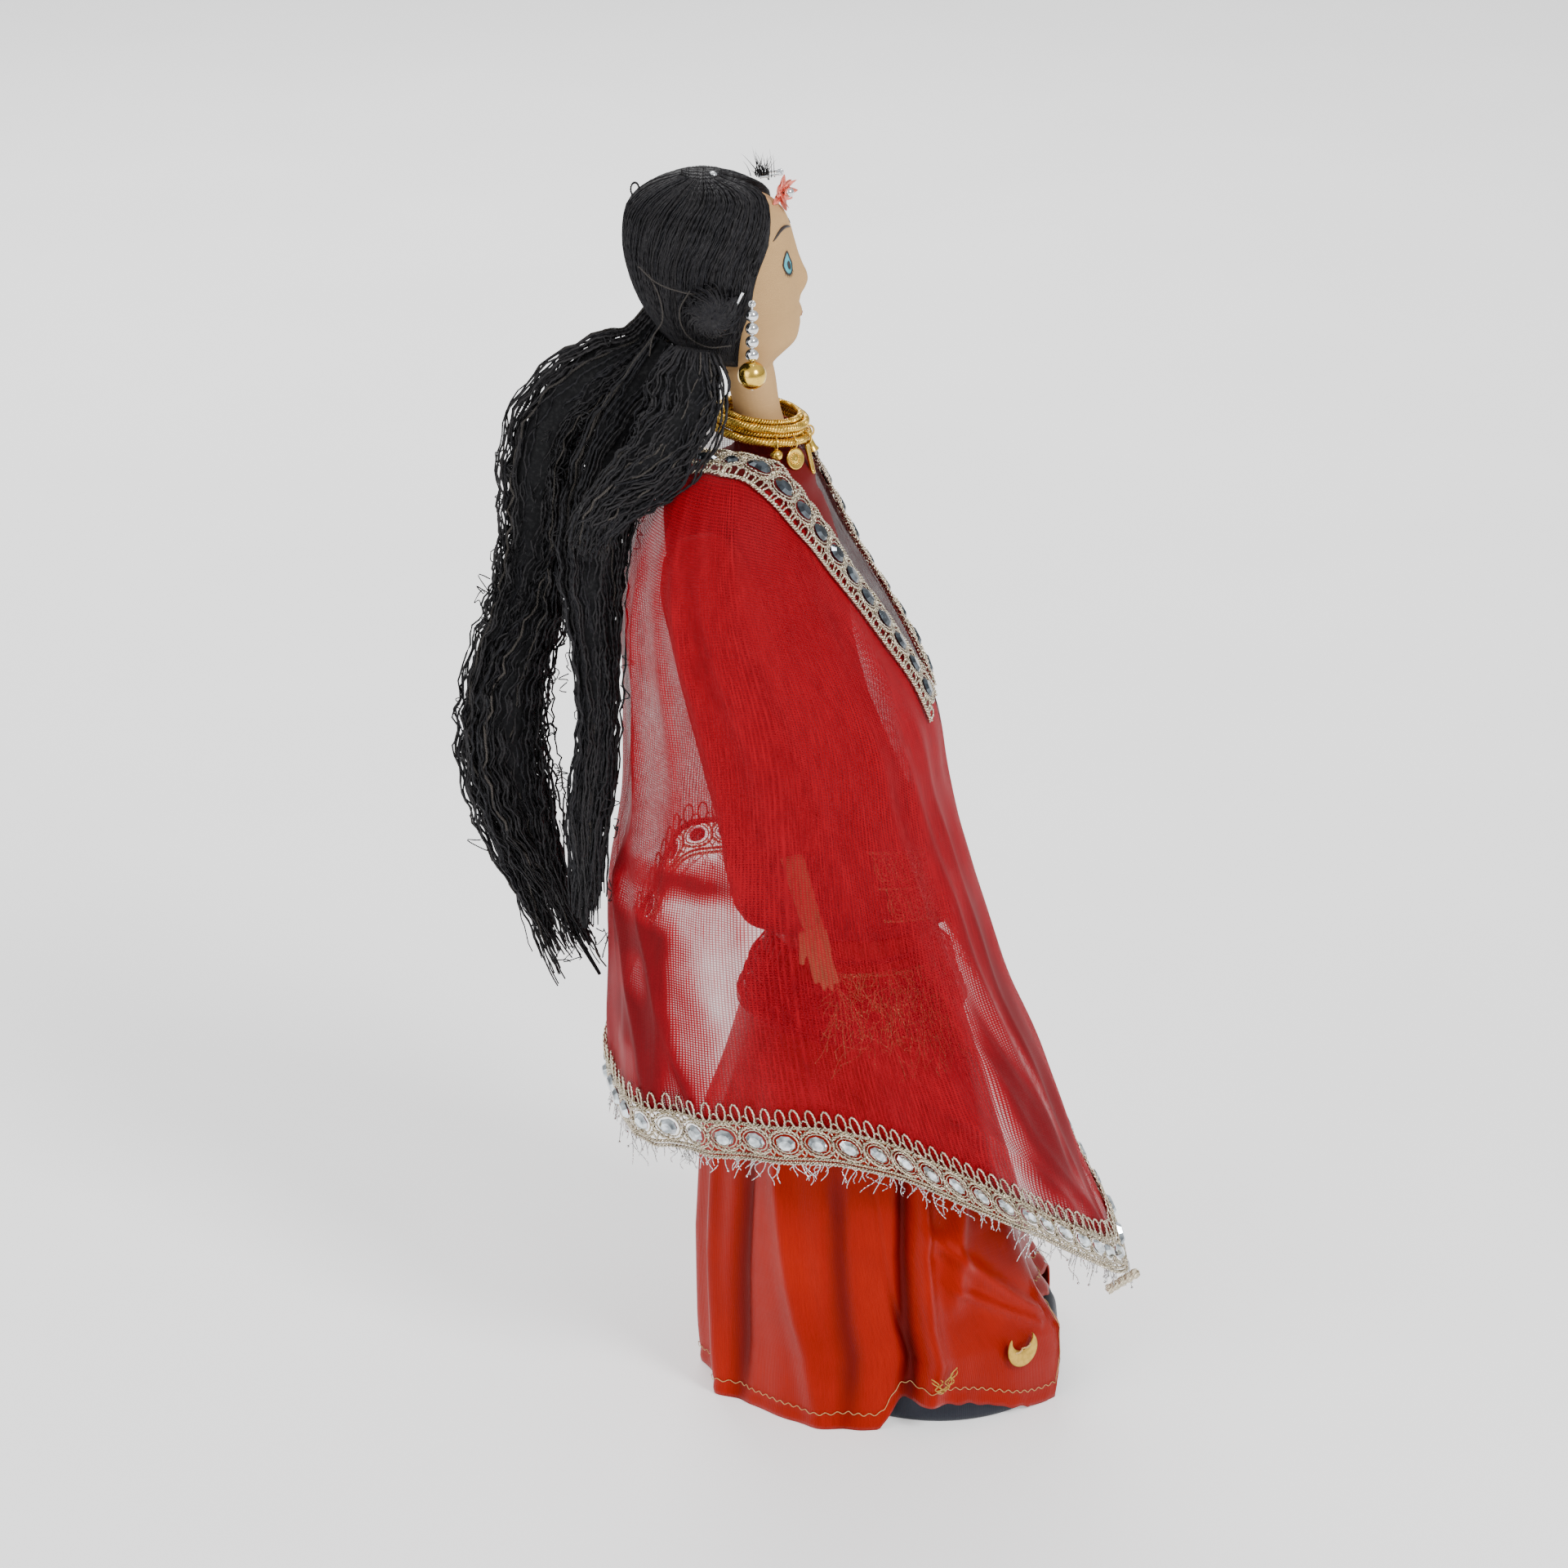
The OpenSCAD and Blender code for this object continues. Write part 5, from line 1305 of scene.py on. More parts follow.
class DOLL_OT_lower_lace(bpy.types.Operator):
    """Hem lace: picot loops, rings with crystals, a braided edge, tinsel fringe and a rolled end"""
    bl_idname = "doll.lower_lace"
    bl_label = "Hem lace"

    def execute(self, context):
        mats = [silver_lace_thread(), stone_material("Clear crystal", (0.60, 0.66, 0.70), 0.04)]
        band, w, pitch = hem_band(), sizes().lace_thread, sizes().ring_pitch
        length = band.length
        count = int(length / pitch)
        pitch = length / count
        centres = pitch * (np.arange(count) + 0.5)
        shape, first = Shape(), 0
        for k in (0, 1):
            shape.tubes(ring_threads(band, centres, 6.0, 5.0, 4.3, 0.75, 38, 9, 0.32, k * np.pi), w * 0.95, 4,
                        closed=True, first=first)
            first += count
        shape.tubes(ring_threads(band, centres, 6.0, 3.75, 3.3, 0.7, 24), w * 0.8, 4, closed=True, first=first)
        first += count
        stones(shape, band, centres, 6.0, 6.0, 5.4, 2.0, 1, sides=8)
        s = np.linspace(0, length, int(length * 2.6))
        for d, gap, turn in ((1.0, 0.4, 2.4), (11.3, 0.3, 2.2), (12.8, 0.42, 2.2)):
            shape.tubes(wire_pair(band, s, d, 0.5, gap, turn), w * 0.95, 4, first=first)
            first += 2
        # Picots: tall narrow closed loops that stand on the top braid
        loops = np.arange(1.5, length - 1, 4.7)
        t = ring_angles(20)
        lean = 0.5 * np.sin(loops)[:, None]
        shape.tubes(band.at(loops[:, None] + 1.4 * np.sin(t) + 0.3 * lean * (1 - np.cos(t)), -2.1 + 3.0 * np.cos(t),
                            0.6 + 0.3 * np.sin(t)), w * 1.0, 5, closed=True, first=first)
        shape.tubes(band.at(loops[:, None] + 2.35 + 1.1 * np.sin(t), 0.1 + 1.5 * np.cos(t), 0.35), w * 0.8, 4,
                    closed=True, first=first + len(loops))
        bars = np.minimum(centres + pitch / 2, length - 1.6)
        t = np.linspace(0, 1, 8)
        for lean in (-1.4, 1.4):
            for d, drop in ((1.4, 2.4), (10.6, -2.4)):
                shape.tubes(band.at(bars[:, None] + lean * t, d + drop * t, 0.5), w * 0.8, 4, first=first)
        shape.make("hem_lace", "stand", mats, ["lower_lace"], "silver_lace", flat=[1])

        # Tinsel: thin filaments that hang from the braid and curl outwards
        rng = np.random.default_rng(3)
        n, t = sizes().fringe, np.linspace(0, 1, 9)
        s0 = rng.uniform(0.5, length - 0.5, (n, 1))
        clump = 0.5 + 0.5 * np.sin(s0 * 0.45 + np.sin(s0 * 0.13) * 3)
        size = rng.uniform(2.2, 5.5, (n, 1)) + 6.0 * clump * rng.random((n, 1)) ** 2
        start = band.at(s0, 12.6, 0.6)
        out = cloth_normal(np.interp(s0, band.s, np.linspace(0, 360, len(band.s))), np.full_like(s0, 90.0))
        side = np.cross(out, [0, 0, 1.0])
        swing, lift = rng.normal(0, 0.42, (n, 1, 1)), rng.uniform(-0.12, 0.34, (n, 1, 1))
        curl = rng.normal(0, 0.22, (n, 1, 1)) * np.sin(t * rng.uniform(2, 6, (n, 1)))[..., None]
        reach = (size * t)[..., None]
        way = np.array([0, 0, -1.0]) + swing * side + lift * out
        path = start + reach * way + size[..., None] * curl * side
        made = Shape().tubes(path, (0.2 * (1 - 0.3 * t))[None], 4)
        bead = path[::5, -1]
        k = np.linspace(-0.45, 0.45, 5)
        drops = bead[:, None] + np.array([0, 0, 1.0]) * k[None, :, None]
        made.tubes(drops, 0.42 * np.sqrt(np.maximum(0.02, 1 - (k / 0.46) ** 2))[None], 6)
        tinsel = thread_material("Silver tinsel", (0.84, 0.84, 0.84), (0.5, 0.5, 0.5), 0.95, 0.16)
        made.make("hem_tinsel", "stand", [tinsel], (), "silver_lace")

        # Rolled end: a spiral of lace round a short line
        middle, half = box_mm("lace_end")
        line = unit(np.array([half[0] - 0.9, 0, half[2] - 1.3]))
        t = np.linspace(0, 1, 150)
        u, v = np.array([0, 1.0, 0]), np.cross(line, [0, 1.0, 0])
        coil = Shape()
        for k in range(3):
            turn, r = 2 * np.pi * (t * 9 + k / 3), (1.25 + 0.15 * np.sin(t * 30))[:, None]
            spiral = r * (np.cos(turn)[:, None] * u + np.sin(turn)[:, None] * v)
            coil.tubes(middle + (t[:, None] - 0.5) * 11.4 * line + spiral, 0.36, 6, first=k)
        coil.tubes(middle + (np.linspace(0, 1, 12)[:, None] - 0.5) * 11 * line, 0.95, 8, first=4)
        coil.make("rolled_lace_end", "stand", [silver_lace_thread()], ["lace_end"], "silver_lace")
        return {"FINISHED"}


class DOLL_OT_head(bpy.types.Operator):
    """Stuffed cotton head and neck, with painted brows, eyes, lashes and lips"""
    bl_idname = "doll.head"
    bl_label = "Head"

    def execute(self, context):
        skin = skin_cotton()
        a = ring_degrees(192)
        u = np.linspace(0, 1, 120)[:, None]
        head = head_point(u, a, face=True)
        z = np.linspace(SHOULDER + 0.4, CHIN - 1.2, 22)[:, None]
        k = (z - SHOULDER) / NECK_H
        neck_r = 7.0 + 0.5 * (1 - k) + 0.25 * np.sin(k * 9)
        neck = xyz(axis_x(z) + neck_r * cosd(a), (neck_r + 0.6) * sind(a), z)
        rows = np.concatenate([shrink(neck[:1], 0.01), neck, head,
                               shrink(head[-1:], 0.6, (0, 0, 0.6)) + np.array([0, 0, 0.1]),
                               shrink(head[-1:], 0.01, (0, 0, 0.6))])
        shape = Shape().surface(rows, wrap_m=True, size=(115, 100))
        made = shape.make("stuffed_head", "stand", [skin], ["head"], "skin_cloth", weld=0.05)

        dark = paint("Dark paint", (0.022, 0.014, 0.012))
        turquoise = paint("Turquoise paint", tuple(colours().eye), 0.4)
        face = Shape()
        for side in (-1, 1):
            a0 = side * 26
            # Eye: a drop with its point up, r(t) drawn in towards the top
            t = ring_angles(48)
            narrow = np.cos(t) * (1 - 0.62 * np.maximum(0, np.sin(t)) ** 0.9)
            p, q = 2.3 * narrow * side, 3.1 * np.sin(t) + 0.4 * np.sin(t) * (np.sin(t) > 0)
            rings = np.array([0.02, 0.3, 0.6, 0.85, 1.0])[:, None]
            face.surface(face_spot(EYE_U, a0, p * rings, q * rings, 0.2), wrap_m=True, slot=1, flip=side > 0)
            face.tubes(face_spot(EYE_U, a0, p * 1.05, q * 1.05, 0.16), 0.27, 6, closed=True)
            rings = np.array([0.02, 0.5, 1.0])[:, None]
            face.surface(face_spot(EYE_U, a0, -0.7 * side + 0.95 * np.cos(t) * rings, -0.6 + 1.35 * np.sin(t) * rings,
                                   0.26), wrap_m=True, slot=0)
            s = np.linspace(0, 1, 7)
            for k in range(7):
                b = -2.2 + 4.4 * k / 6
                at_p, at_q = b * 0.9 * side, -2.9 + 0.22 * b * b
                lash = face_spot(EYE_U, a0, at_p + 0.22 * b * s * side, at_q - 1.5 * s, 0.2 + 0.05 * s)
                face.tubes(lash, 0.15 * (1.15 - s)[None], 4)
            # Brow: an arch, thick in its middle
            s = np.linspace(0, 1, 24)
            p, q = mix(-6.8, 5.6, s) * side, 2.1 * np.sin(np.pi * s * 0.92) - 2.4 * s
            face.tubes(face_spot(BROW_U, a0, p, q + 0.4, 0.05), (0.12 + 0.42 * np.sin(np.pi * s) ** 0.7)[None], 8)
        face.make("painted_eyes_and_brows", "stand", [dark, turquoise], (), "skin_cloth")

        rose = paint("Rose paint", (0.36, 0.12, 0.07), 0.6)
        lips = Shape()
        s = np.linspace(-1, 1, 33)
        for up, thick in ((1, 0.42), (-1, 0.52)):
            bow = 0.62 * (1 - s ** 2) * (1 - 0.35 * bump_at(s, 0, 0.16) * (up > 0))
            lips.tubes(face_spot(LIPS_U, 0, 2.6 * s, up * bow * 0.6, -0.1),
                       (0.06 + 0.7 * thick * (1 - s ** 2) ** 0.8)[None], 8)
        lips.make("painted_lips", "stand", [rose], (), "skin_cloth")
        return {"FINISHED"}


class DOLL_OT_hair(bpy.types.Operator):
    """Yarn hair on the head: strands from the parting, side buns, loose cords, pin, loop and tuft"""
    bl_idname = "doll.hair"
    bl_label = "Hair cap"

    def execute(self, context):
        yarn = yarn_black()
        rng = np.random.default_rng(21)
        # Ground under the strands, closed from its outside to its inside
        us = np.linspace(0.1, 1, 40)[:, None]
        share = np.linspace(0, 1, 60)
        base = Shape()
        for side in (-1, 1):
            over = [cap_point(np.ones((1, 1)), share, side, 0.75, c) for c in (0.0, 0.3, 0.55, 0.8)]
            wall = over + [cap_point(us, share, side, 0.75)[::-1], cap_point(us, share, side, 3.4)]
            base.surface(np.concatenate(wall), size=(60, 120), flip=side < 0)
        base.make("hair_ground", "stand", [yarn], ["hair_cap"], "yarn")
        strands = Shape()
        n = sizes().cap_strands
        for side in (-1, 1):
            for layer, (depth, count) in enumerate(((0.62, n // 2), (0.28, n // 2), (0.0, n // 3), (3.0, 26))):
                share = np.sort(rng.uniform(0, 1, count))[:, None] ** 0.92
                share = np.clip(share + rng.normal(0, 0.004, (count, 1)), 0.002, 1)
                if layer == 3:  # round the front edge, from the outside to the inside
                    share, depth = share * 0 - 0.006, np.linspace(0.1, 3.2, count)[:, None]
                drift = rng.normal(0, 0.018, (count, 1))
                foot = rng.uniform(0.06, 0.15, (count, 1))
                crown = [cap_point(np.ones((count, 1)), share, side, depth, c) for c in (0.02, 0.25, 0.5, 0.75, 0.95)]
                u = 0.985 + (foot - 0.985) * ease(np.linspace(0, 1, 23))
                rate, start = rng.uniform(14, 34, (count, 1)), rng.uniform(0, 6, (count, 1))
                wave = drift * (0.985 - u) + 0.006 * np.sin(u * rate + start)
                lower = ease((0.34 - u) / 0.3)
                body = cap_point(u, np.clip(share + wave + 0.18 * lower * (1 - share), 0, 1), side,
                                 depth + rng.normal(0, 0.1, (count, 1)) + 1.2 * lower)
                path = np.concatenate(crown + [body], 1)
                strands.tubes(path, sizes().cap_yarn * rng.uniform(0.75, 1.15, (count, 1)), 4,
                              first=1000 * layer + 400 * (side > 0), ref=(0.31, 0.27, 0.91))
        strands.make("hair_strands", "stand", [yarn], (), "yarn")

        # Buns: strands run from pole to pole over a flat cushion
        for side, name in ((-1, "right"), (1, "left")):
            bun_mid, half = box_mm(f"bun_{name}")
            bun = Shape()
            t, ring = np.linspace(0.04, np.pi - 0.04, 22), ring_angles(150)[:, None]
            r = 1.02 + 0.03 * np.sin(ring * 40)
            swirl = ring + 0.9 * np.sin(t / 2 + 0.35)
            bun.tubes(bun_mid + half * xyz(r * np.sin(t) * np.cos(swirl), r * np.cos(t), r * np.sin(t) * np.sin(swirl)),
                      0.3, 4)
            t = np.linspace(0.02, np.pi - 0.02, 20)
            inner = revolve(np.stack([np.sin(t), -np.cos(t)], -1), (0, 0, 0), 32)
            bun.surface(bun_mid + inner * half * 0.99, wrap_m=True)
            bun.make(f"yarn_bun_{name}", "stand", [yarn], [f"bun_{name}"], "yarn")
            ring = ring_angles(120)
            mid, half = box_mm(f"bun_cord_{name}")
            r = half[0] - 0.6
            cords = Shape()
            for k in range(2):
                wind = ring * 26 + k * np.pi
                wob = r * (0.93 + 0.07 * np.sin(3 * ring + k)) + 0.3 * np.cos(wind)
                cords.tubes(mid + xyz(wob * np.cos(ring), 0.3 * np.sin(wind) - side * 0.8 + 0.5 * np.sin(2 * ring),
                                      wob * np.sin(ring)), 0.24, 6, closed=True, first=k)
            s = np.linspace(0, 1, 40)[:, None]
            loose = []
            for pts in (((-91, 17.8, 370), (-86, 20.4, 366), (-80, 22.4, 364), (-74, 22.6, 363), (-68, 22.4, 365)),
                        ((-88, 19.0, 368), (-85, 21.2, 362), (-84, 22.0, 355), (-87, 19.8, 349), (-88, 18.4, 343)),
                        ((-76, 22.8, 364), (-79, 23.4, 358), (-77, 23.2, 351), (-71, 22.6, 347), (-64, 21.4, 347))):
                pts = np.array(pts, float)
                pts[:, 1] *= side
                loose.append(smooth_line(pts, 40))
            cords.tubes(np.array(loose), 0.24, 6, slot=1, first=7)
            turn = np.sort(rng.uniform(0, 2 * np.pi, 90))[:, None]
            reach = np.linspace(0.12, 1, 16) * rng.uniform(1.05, 1.5, (90, 1))
            swing = turn + 0.5 * np.sin(reach * 2 + turn * 3) + 0.25 * reach
            lift = np.sqrt(np.maximum(1 - reach ** 2, 0.0))
            fan = xyz(reach * np.cos(swing) * BUN_R, side * (lift * 3.7 - 3.2 * ease((reach - 0.95) / 0.35)),
                      reach * np.sin(swing) * BUN_R)
            cords.tubes(fan + bun_mid, 0.24 * rng.uniform(0.7, 1.2, (90, 1)), 4, first=20)
            cords.make(f"bun_cords_{name}", "stand", [yarn, faded_yarn()], [f"bun_cord_{name}"], "yarn")

        # Hanging loop of two twisted threads, and the frayed tuft at the parting
        mid, half = box_mm("hanging_loop")
        ring = ring_angles(80)
        loop = Shape()
        for k in range(2):
            wind = ring * 9 + k * np.pi
            r = (half[0] - 0.5) * 0.85 + 0.2 * np.cos(wind)
            loop.tubes(mid + [1.0, 0, -0.8] + xyz(r * np.cos(ring) * 0.6, 0.2 * np.sin(wind), r * np.sin(ring)), 0.2, 6,
                       closed=True)
        loop.make("thread_loop", "stand", [yarn], ["hanging_loop"], "yarn")
        tuft = Shape()
        n, s = 46, np.linspace(0, 1, 9)
        root = np.array([axis_x(CROWN) + 14.0, 0, CROWN + 2.2]) + rng.normal(0, 1, (n, 1, 3)) * [1.6, 1.2, 0.3]
        aim = unit(np.array([-0.1, 0, 1.0]) + rng.normal(0, 0.26, (n, 1, 3)))
        bend = rng.normal(0, 1.2, (n, 1, 3)) * (s ** 2)[None, :, None]
        tuft.tubes(root + aim * (rng.uniform(3.0, 7.5, (n, 1, 1)) * s[None, :, None]) + bend,
                   (0.17 * (1.1 - s))[None], 4)
        tuft.make("frayed_tuft", "stand", [yarn], (), "yarn")
        spot = np.array([axis_x(CROWN) - 0.5, -4.0, CROWN + 3.9])
        sequin = Shape().turned([(0.02, 0.3), (0.5, 0.25), (1.1, 0.0), (1.2, 0.12), (0.5, 0.45), (0.02, 0.5)],
                                         spot, 20, (0.1, -0.5, 1))
        sequin.make("parting_sequin", "stand", [silver_metal()], (), "silver")
        set_cad("hair_pin", silver_metal())
        return {"FINISHED"}


class DOLL_OT_tresses(bpy.types.Operator):
    """Three tresses of crimped, tangled yarn with frayed ends"""
    bl_idname = "doll.tresses"
    bl_label = "Tresses"

    def execute(self, context):
        yarn, r = yarn_black(), sizes().yarn
        # A very dark material for the core inside each tress: painted shade between the strands
        shade = thread_material("Tress core shade", (0.0012, 0.0012, 0.002), (0.004, 0.004, 0.005), 0.0, 0.95)
        plan = (("rear", REAR, 25, .62, sizes().tress_strands, 88, 31,
                 [(-3.5, 0), (10.0, 1.5), (1.0, -1.0), (5.5, 0.5), (-1.5, -1.5)], 1.2, 0.5),
                ("inner", INNER, 19, .55, 230, 64, 32, [(-2.0, 0), (2.0, 0.5), (0, -0.5)], 0.7, 0.3),
                ("side", SIDE, 24, .5, 260, 52, 33, [(-3.5, 0), (3.0, 1.0), (0, -1.0)], 0.8, 0.45))
        for name, path, width, flat, count, steps, seed, ends, fray, kink in plan:
            rng = np.random.default_rng(seed)
            guide, half = tress_guide(path, width, flat, steps)
            shape = Shape()
            t = ring_angles(20)
            along = unit(np.gradient(guide, axis=0))
            x = unit(np.cross(np.broadcast_to([0.0, 1.0, 0.0], along.shape), along))
            y = np.cross(along, x)
            # Core: a dark sheet inside the tress, put where there is only shade between the strands
            taper = (0.62 * (1 - 0.8 * ease((np.linspace(0, 1, steps) - 0.55) / 0.4)))[:, None, None]
            core = guide[:, None] + taper * (half[:, :1, None] * np.cos(t)[None, :, None] * x[:, None]
                                             + half[:, 1:, None] * np.sin(t)[None, :, None] * y[:, None])
            shape.surface(core, wrap_m=True, flip=True, slot=1)
            strands = bundle(rng, guide, half - r, count, kink, 0.7, ends, fray)
            tip = 1 - 0.35 * ease((np.linspace(0, 1, steps) - 0.9) / 0.1)
            thick = r * rng.uniform(0.75, 1.15, (count, 1)) * tip[None]
            pale = rng.uniform(0, 1, count) < 0.05
            shape.tubes(strands[~pale], thick[~pale], 3 if name == "rear" else 4)
            shape.tubes(strands[pale], thick[pale], 4, slot=2)
            shape.make(f"{name}_tress_yarn", f"hair_{name}", [yarn, shade, faded_yarn()], [f"tress_{name}"], "yarn")
            if name == "side":
                continue
            # Loose curls and stray fibres off the surface
            stray = Shape()
            m, s = (70 if name == "rear" else 40), np.linspace(0, 1, 14)
            k = rng.integers(4, steps - 4, m)
            ang = rng.uniform(0, 2 * np.pi, m)
            outx, outy = np.cos(ang)[:, None] * x[k], np.sin(ang)[:, None] * y[k]
            base = guide[k] + 0.95 * (half[k, :1] * outx + half[k, 1:] * outy)
            out = unit(outx + outy)
            size = rng.uniform(2.5, 6.5, (m, 1, 1))
            arc = out[:, None] * (0.42 * np.sin(np.pi * s))[None, :, None] + along[k][:, None] * s[None, :, None]
            wob = rng.normal(0, 0.22, (m, 1, 3)) * np.sin(s * 9)[None, :, None]
            stray.tubes(base[:, None] + size * (arc + wob), r * 0.5, 4)
            stray.make(f"{name}_tress_strays", f"hair_{name}", [yarn], (), "yarn")
        return {"FINISHED"}


def arm_places(side):
    """Turns points drawn in the hanging arm's own frame (x forward, y out, z up) into place."""
    z = SHOULDER - 21
    pivot = np.array([axis_x(z) - 22, side * (CHEST_WIDTH / 2 + 2.5 + SLEEVE_T / 2), z])
    c, s = math.cos(ARM_TILT), math.sin(ARM_TILT)
    def place(p):
        p = np.asarray(p, float)
        return xyz(pivot[0] + c * p[..., 0] - s * p[..., 2], pivot[1] + side * p[..., 1],
                   pivot[2] + s * p[..., 0] + c * p[..., 2])
    return place


HAND_FLAT = 1.9 / 3.3 * 0.9  # thickness share of the flattened hand
SLEEVE = [(0, .36, .5), (.03, .6, .8), (.1, .82, 1), (.3, .96, 1), (.6, .98, 1), (1, 1, 1)]


class DOLL_OT_arms(bpy.types.Operator):
    """Arms: wide cotton sleeves, stuffed forearms and flat stitched hands"""
    bl_idname = "doll.arms"
    bl_label = "Arms"

    def execute(self, context):
        red = cotton("Red cotton", tuple(colours().blouse), 2.0, 0.75, 0.8, 0.06)
        skin = skin_cotton()
        for side, name in ((-1, "right"), (1, "left")):
            place, body = arm_places(side), f"arm_{name}_body"
            t = np.concatenate([np.linspace(0, 0.1, 14), np.linspace(0.11, 1, 90)])[:, None]
            a = ring_degrees(120)
            def sleeve(inset):
                z = 5 - (SLEEVE_L + 5) * t
                w = CUFF_W / 2 * column(t, SLEEVE, 1) - inset
                h = SLEEVE_T / 2 * column(t, SLEEVE, 2) - inset
                crease = -0.35 * (1 + sind(a * 3 + z * 5)) * bump_at(t, 0.5, 0.22)
                crease = crease - 0.3 * (1 + sind(a * 11)) * bump_at(t, 0.04, 0.05)
                crease = crease - 0.3 * (1 + sind(a * 2 - z * 9)) * bump_at(t, 0.78, 0.12)
                wave = 0.35 * (t > 0.98) * sind(a * 6)
                return xyz(mix(-1, 0, t) + (w + crease) * cosd(a), (h + crease) * sind(a), z + wave)
            outer, inner = sleeve(0.0), sleeve(0.7)
            shape = Shape()
            under = (0, 0, -0.6)
            rows = np.concatenate([shrink(outer[:1], 0.01), shrink(outer[:1], 0.5), outer, inner[::-1],
                                   shrink(inner[:1], 0.5, under), shrink(inner[:1], 0.01, under)])
            shape.surface(place(rows), wrap_m=True, size=(72, 210), flip=side < 0)
            hem = sleeve(-0.05)[-5:-4, :]
            stitches = 0.12 + 0.13 * (np.arange(len(a)) % 4 > 1)
            shape.tubes(place(hem), stitches[None], 4, closed=True, slot=1)
            made = shape.make(f"sleeve_cloth_{name}", body, [red, red_thread()],
                              [f"sleeve_{name}"], "red_cotton", weld=0.02)

            # Forearm: an oval tube that narrows to the wrist, pinched where the hand is sewn on
            reach = ARM_L - HAND_L
            s = np.linspace(0, 1, 60)[:, None]
            r = mix(5, 3.2, s) * (0.35 + 0.65 * ease(s / 0.05)) + 0.12 * np.sin(s * 40) * (1 - s)
            a2 = ring_degrees(64)
            arm = xyz(mix(0, 5, s) + r * cosd(a2), 0.9 * r * sind(a2), -s * reach - 4)
            arm = np.concatenate([shrink(arm[:1], 0.02), arm, shrink(arm[-1:], 0.02)])
            forearm = Shape().surface(place(arm), wrap_m=True, size=(26, 120), flip=side > 0)
            made = forearm.make(f"stuffed_arm_{name}", body, [skin], [f"arm_{name}"], "skin_cloth", weld=0.05)

            # Hand: palm and fingers as round-ended tubes in one plane, joined by a remesh
            top = -reach - 3.0
            parts = []
            for x0, x1, z0, z1, r0, r1 in ((0.2, 0.3, 1.5, -5, 2.9, 3.3), (0.3, 0.4, -4, -13, 3.3, 3.0),
                                           (-1.5, -1.9, -3, -12.5, 2.3, 2.0), (1.7, 2.1, -3, -12.5, 2.3, 2.0),
                                           (-2.5, -3.0, -11, -21.2, 1.25, 0.95), (-0.9, -1.0, -12, -24.0, 1.3, 0.95),
                                           (0.9, 1.1, -12, -24.6, 1.3, 0.95), (2.4, 3.1, -11, -22.8, 1.2, 0.95),
                                           (-2.8, -4.6, -3, -9, 1.7, 1.3), (-4.4, -6.0, -8.5, -14.0, 1.35, 0.95)):
                k = np.linspace(0, 1, 16)
                soft = np.sqrt(np.maximum(0.02, 1 - np.maximum(0, (k - 0.86) / 0.14) ** 2)) * np.sqrt(
                    np.maximum(0.02, 1 - np.maximum(0, (0.14 - k) / 0.14) ** 2))
                path = xyz(5 + mix(x0, x1, k), 0 * k, top + mix(z0, z1, k))
                parts.append((path, mix(r0, r1, k) * soft))
            hand = Shape()
            hand.tubes(np.array([p for p, _ in parts]), np.array([q for _, q in parts]), 16, ref=(0, 1, 0))
            flat = np.concatenate(hand.points)
            flat[:, 1] *= HAND_FLAT
            hand.points = [place(flat)]
            made = hand.make(f"stitched_hand_{name}", body, [skin], [f"hand_{name}"], "skin_cloth")
            knit = made.modifiers.new("Join", "REMESH")
            knit.mode, knit.voxel_size, knit.use_smooth_shade = "VOXEL", 0.00035, True
            soften = made.modifiers.new("Soften", "SMOOTH")
            soften.factor, soften.iterations = 0.6, 5
        return {"FINISHED"}


class DOLL_OT_choker(bpy.types.Operator):
    """Choker of twisted gold ropes"""
    bl_idname = "doll.choker"
    bl_label = "Choker"

    def execute(self, context):
        gold = gold_cord()
        for name in ("choker_upper", "choker_lower"):
            mid, half = box_mm(name)
            r, tilt = half[1] - 1.3, math.radians(7)
            t = ring_angles(520)
            shape = Shape()
            for k in range(3):
                wind = 30 * t + k * 2 * np.pi / 3
                rr, h = r + 0.68 * np.cos(wind), 0.68 * np.sin(wind)
                x, y = rr * np.cos(t), rr * np.sin(t)
                shape.tubes(mid + xyz(x * math.cos(tilt) + h * math.sin(tilt), y,
                                      h * math.cos(tilt) - x * math.sin(tilt)), 0.66, 8, closed=True, first=k)
            shape.make(f"{name}_rope", "stand", [gold], [name], "gold")
        # A finer twist lies inside the two ropes
        mid = box_mm("choker_upper")[0] + np.array([0, 0, -1.95])
        shape = Shape()
        for k in range(2):
            wind = 44 * t + k * np.pi
            rr, h = 13.0 + 0.42 * np.cos(wind), 0.42 * np.sin(wind)
            x, y = rr * np.cos(t), rr * np.sin(t)
            shape.tubes(mid + xyz(x * math.cos(tilt), y, h - x * math.sin(tilt)), 0.42, 6, closed=True, first=k)
            rr = 11.7 + 0.5 * np.cos(wind)
            x, y = rr * np.cos(t), rr * np.sin(t)
            shape.tubes(mid + xyz(x * math.cos(tilt), y, 3.6 + 1.2 * h - x * math.sin(tilt)), 0.5, 6, closed=True,
                        first=k + 2)
        shape.make("choker_inner_twist", "stand", [gold], (), "gold")
        return {"FINISHED"}


def charm_frame(joint):
    """Place, outward direction and hanging direction of a charm, from its joint."""
    place, axis = joint_mm(joint)
    out = unit(np.cross(axis, [0, 0, -1.0]))
    if out[0] < 0:
        out = -out
    lean = math.radians(13)
    return place, out, unit(-np.array([0, 0, 1.0]) * math.cos(lean) + out * math.sin(lean)), axis


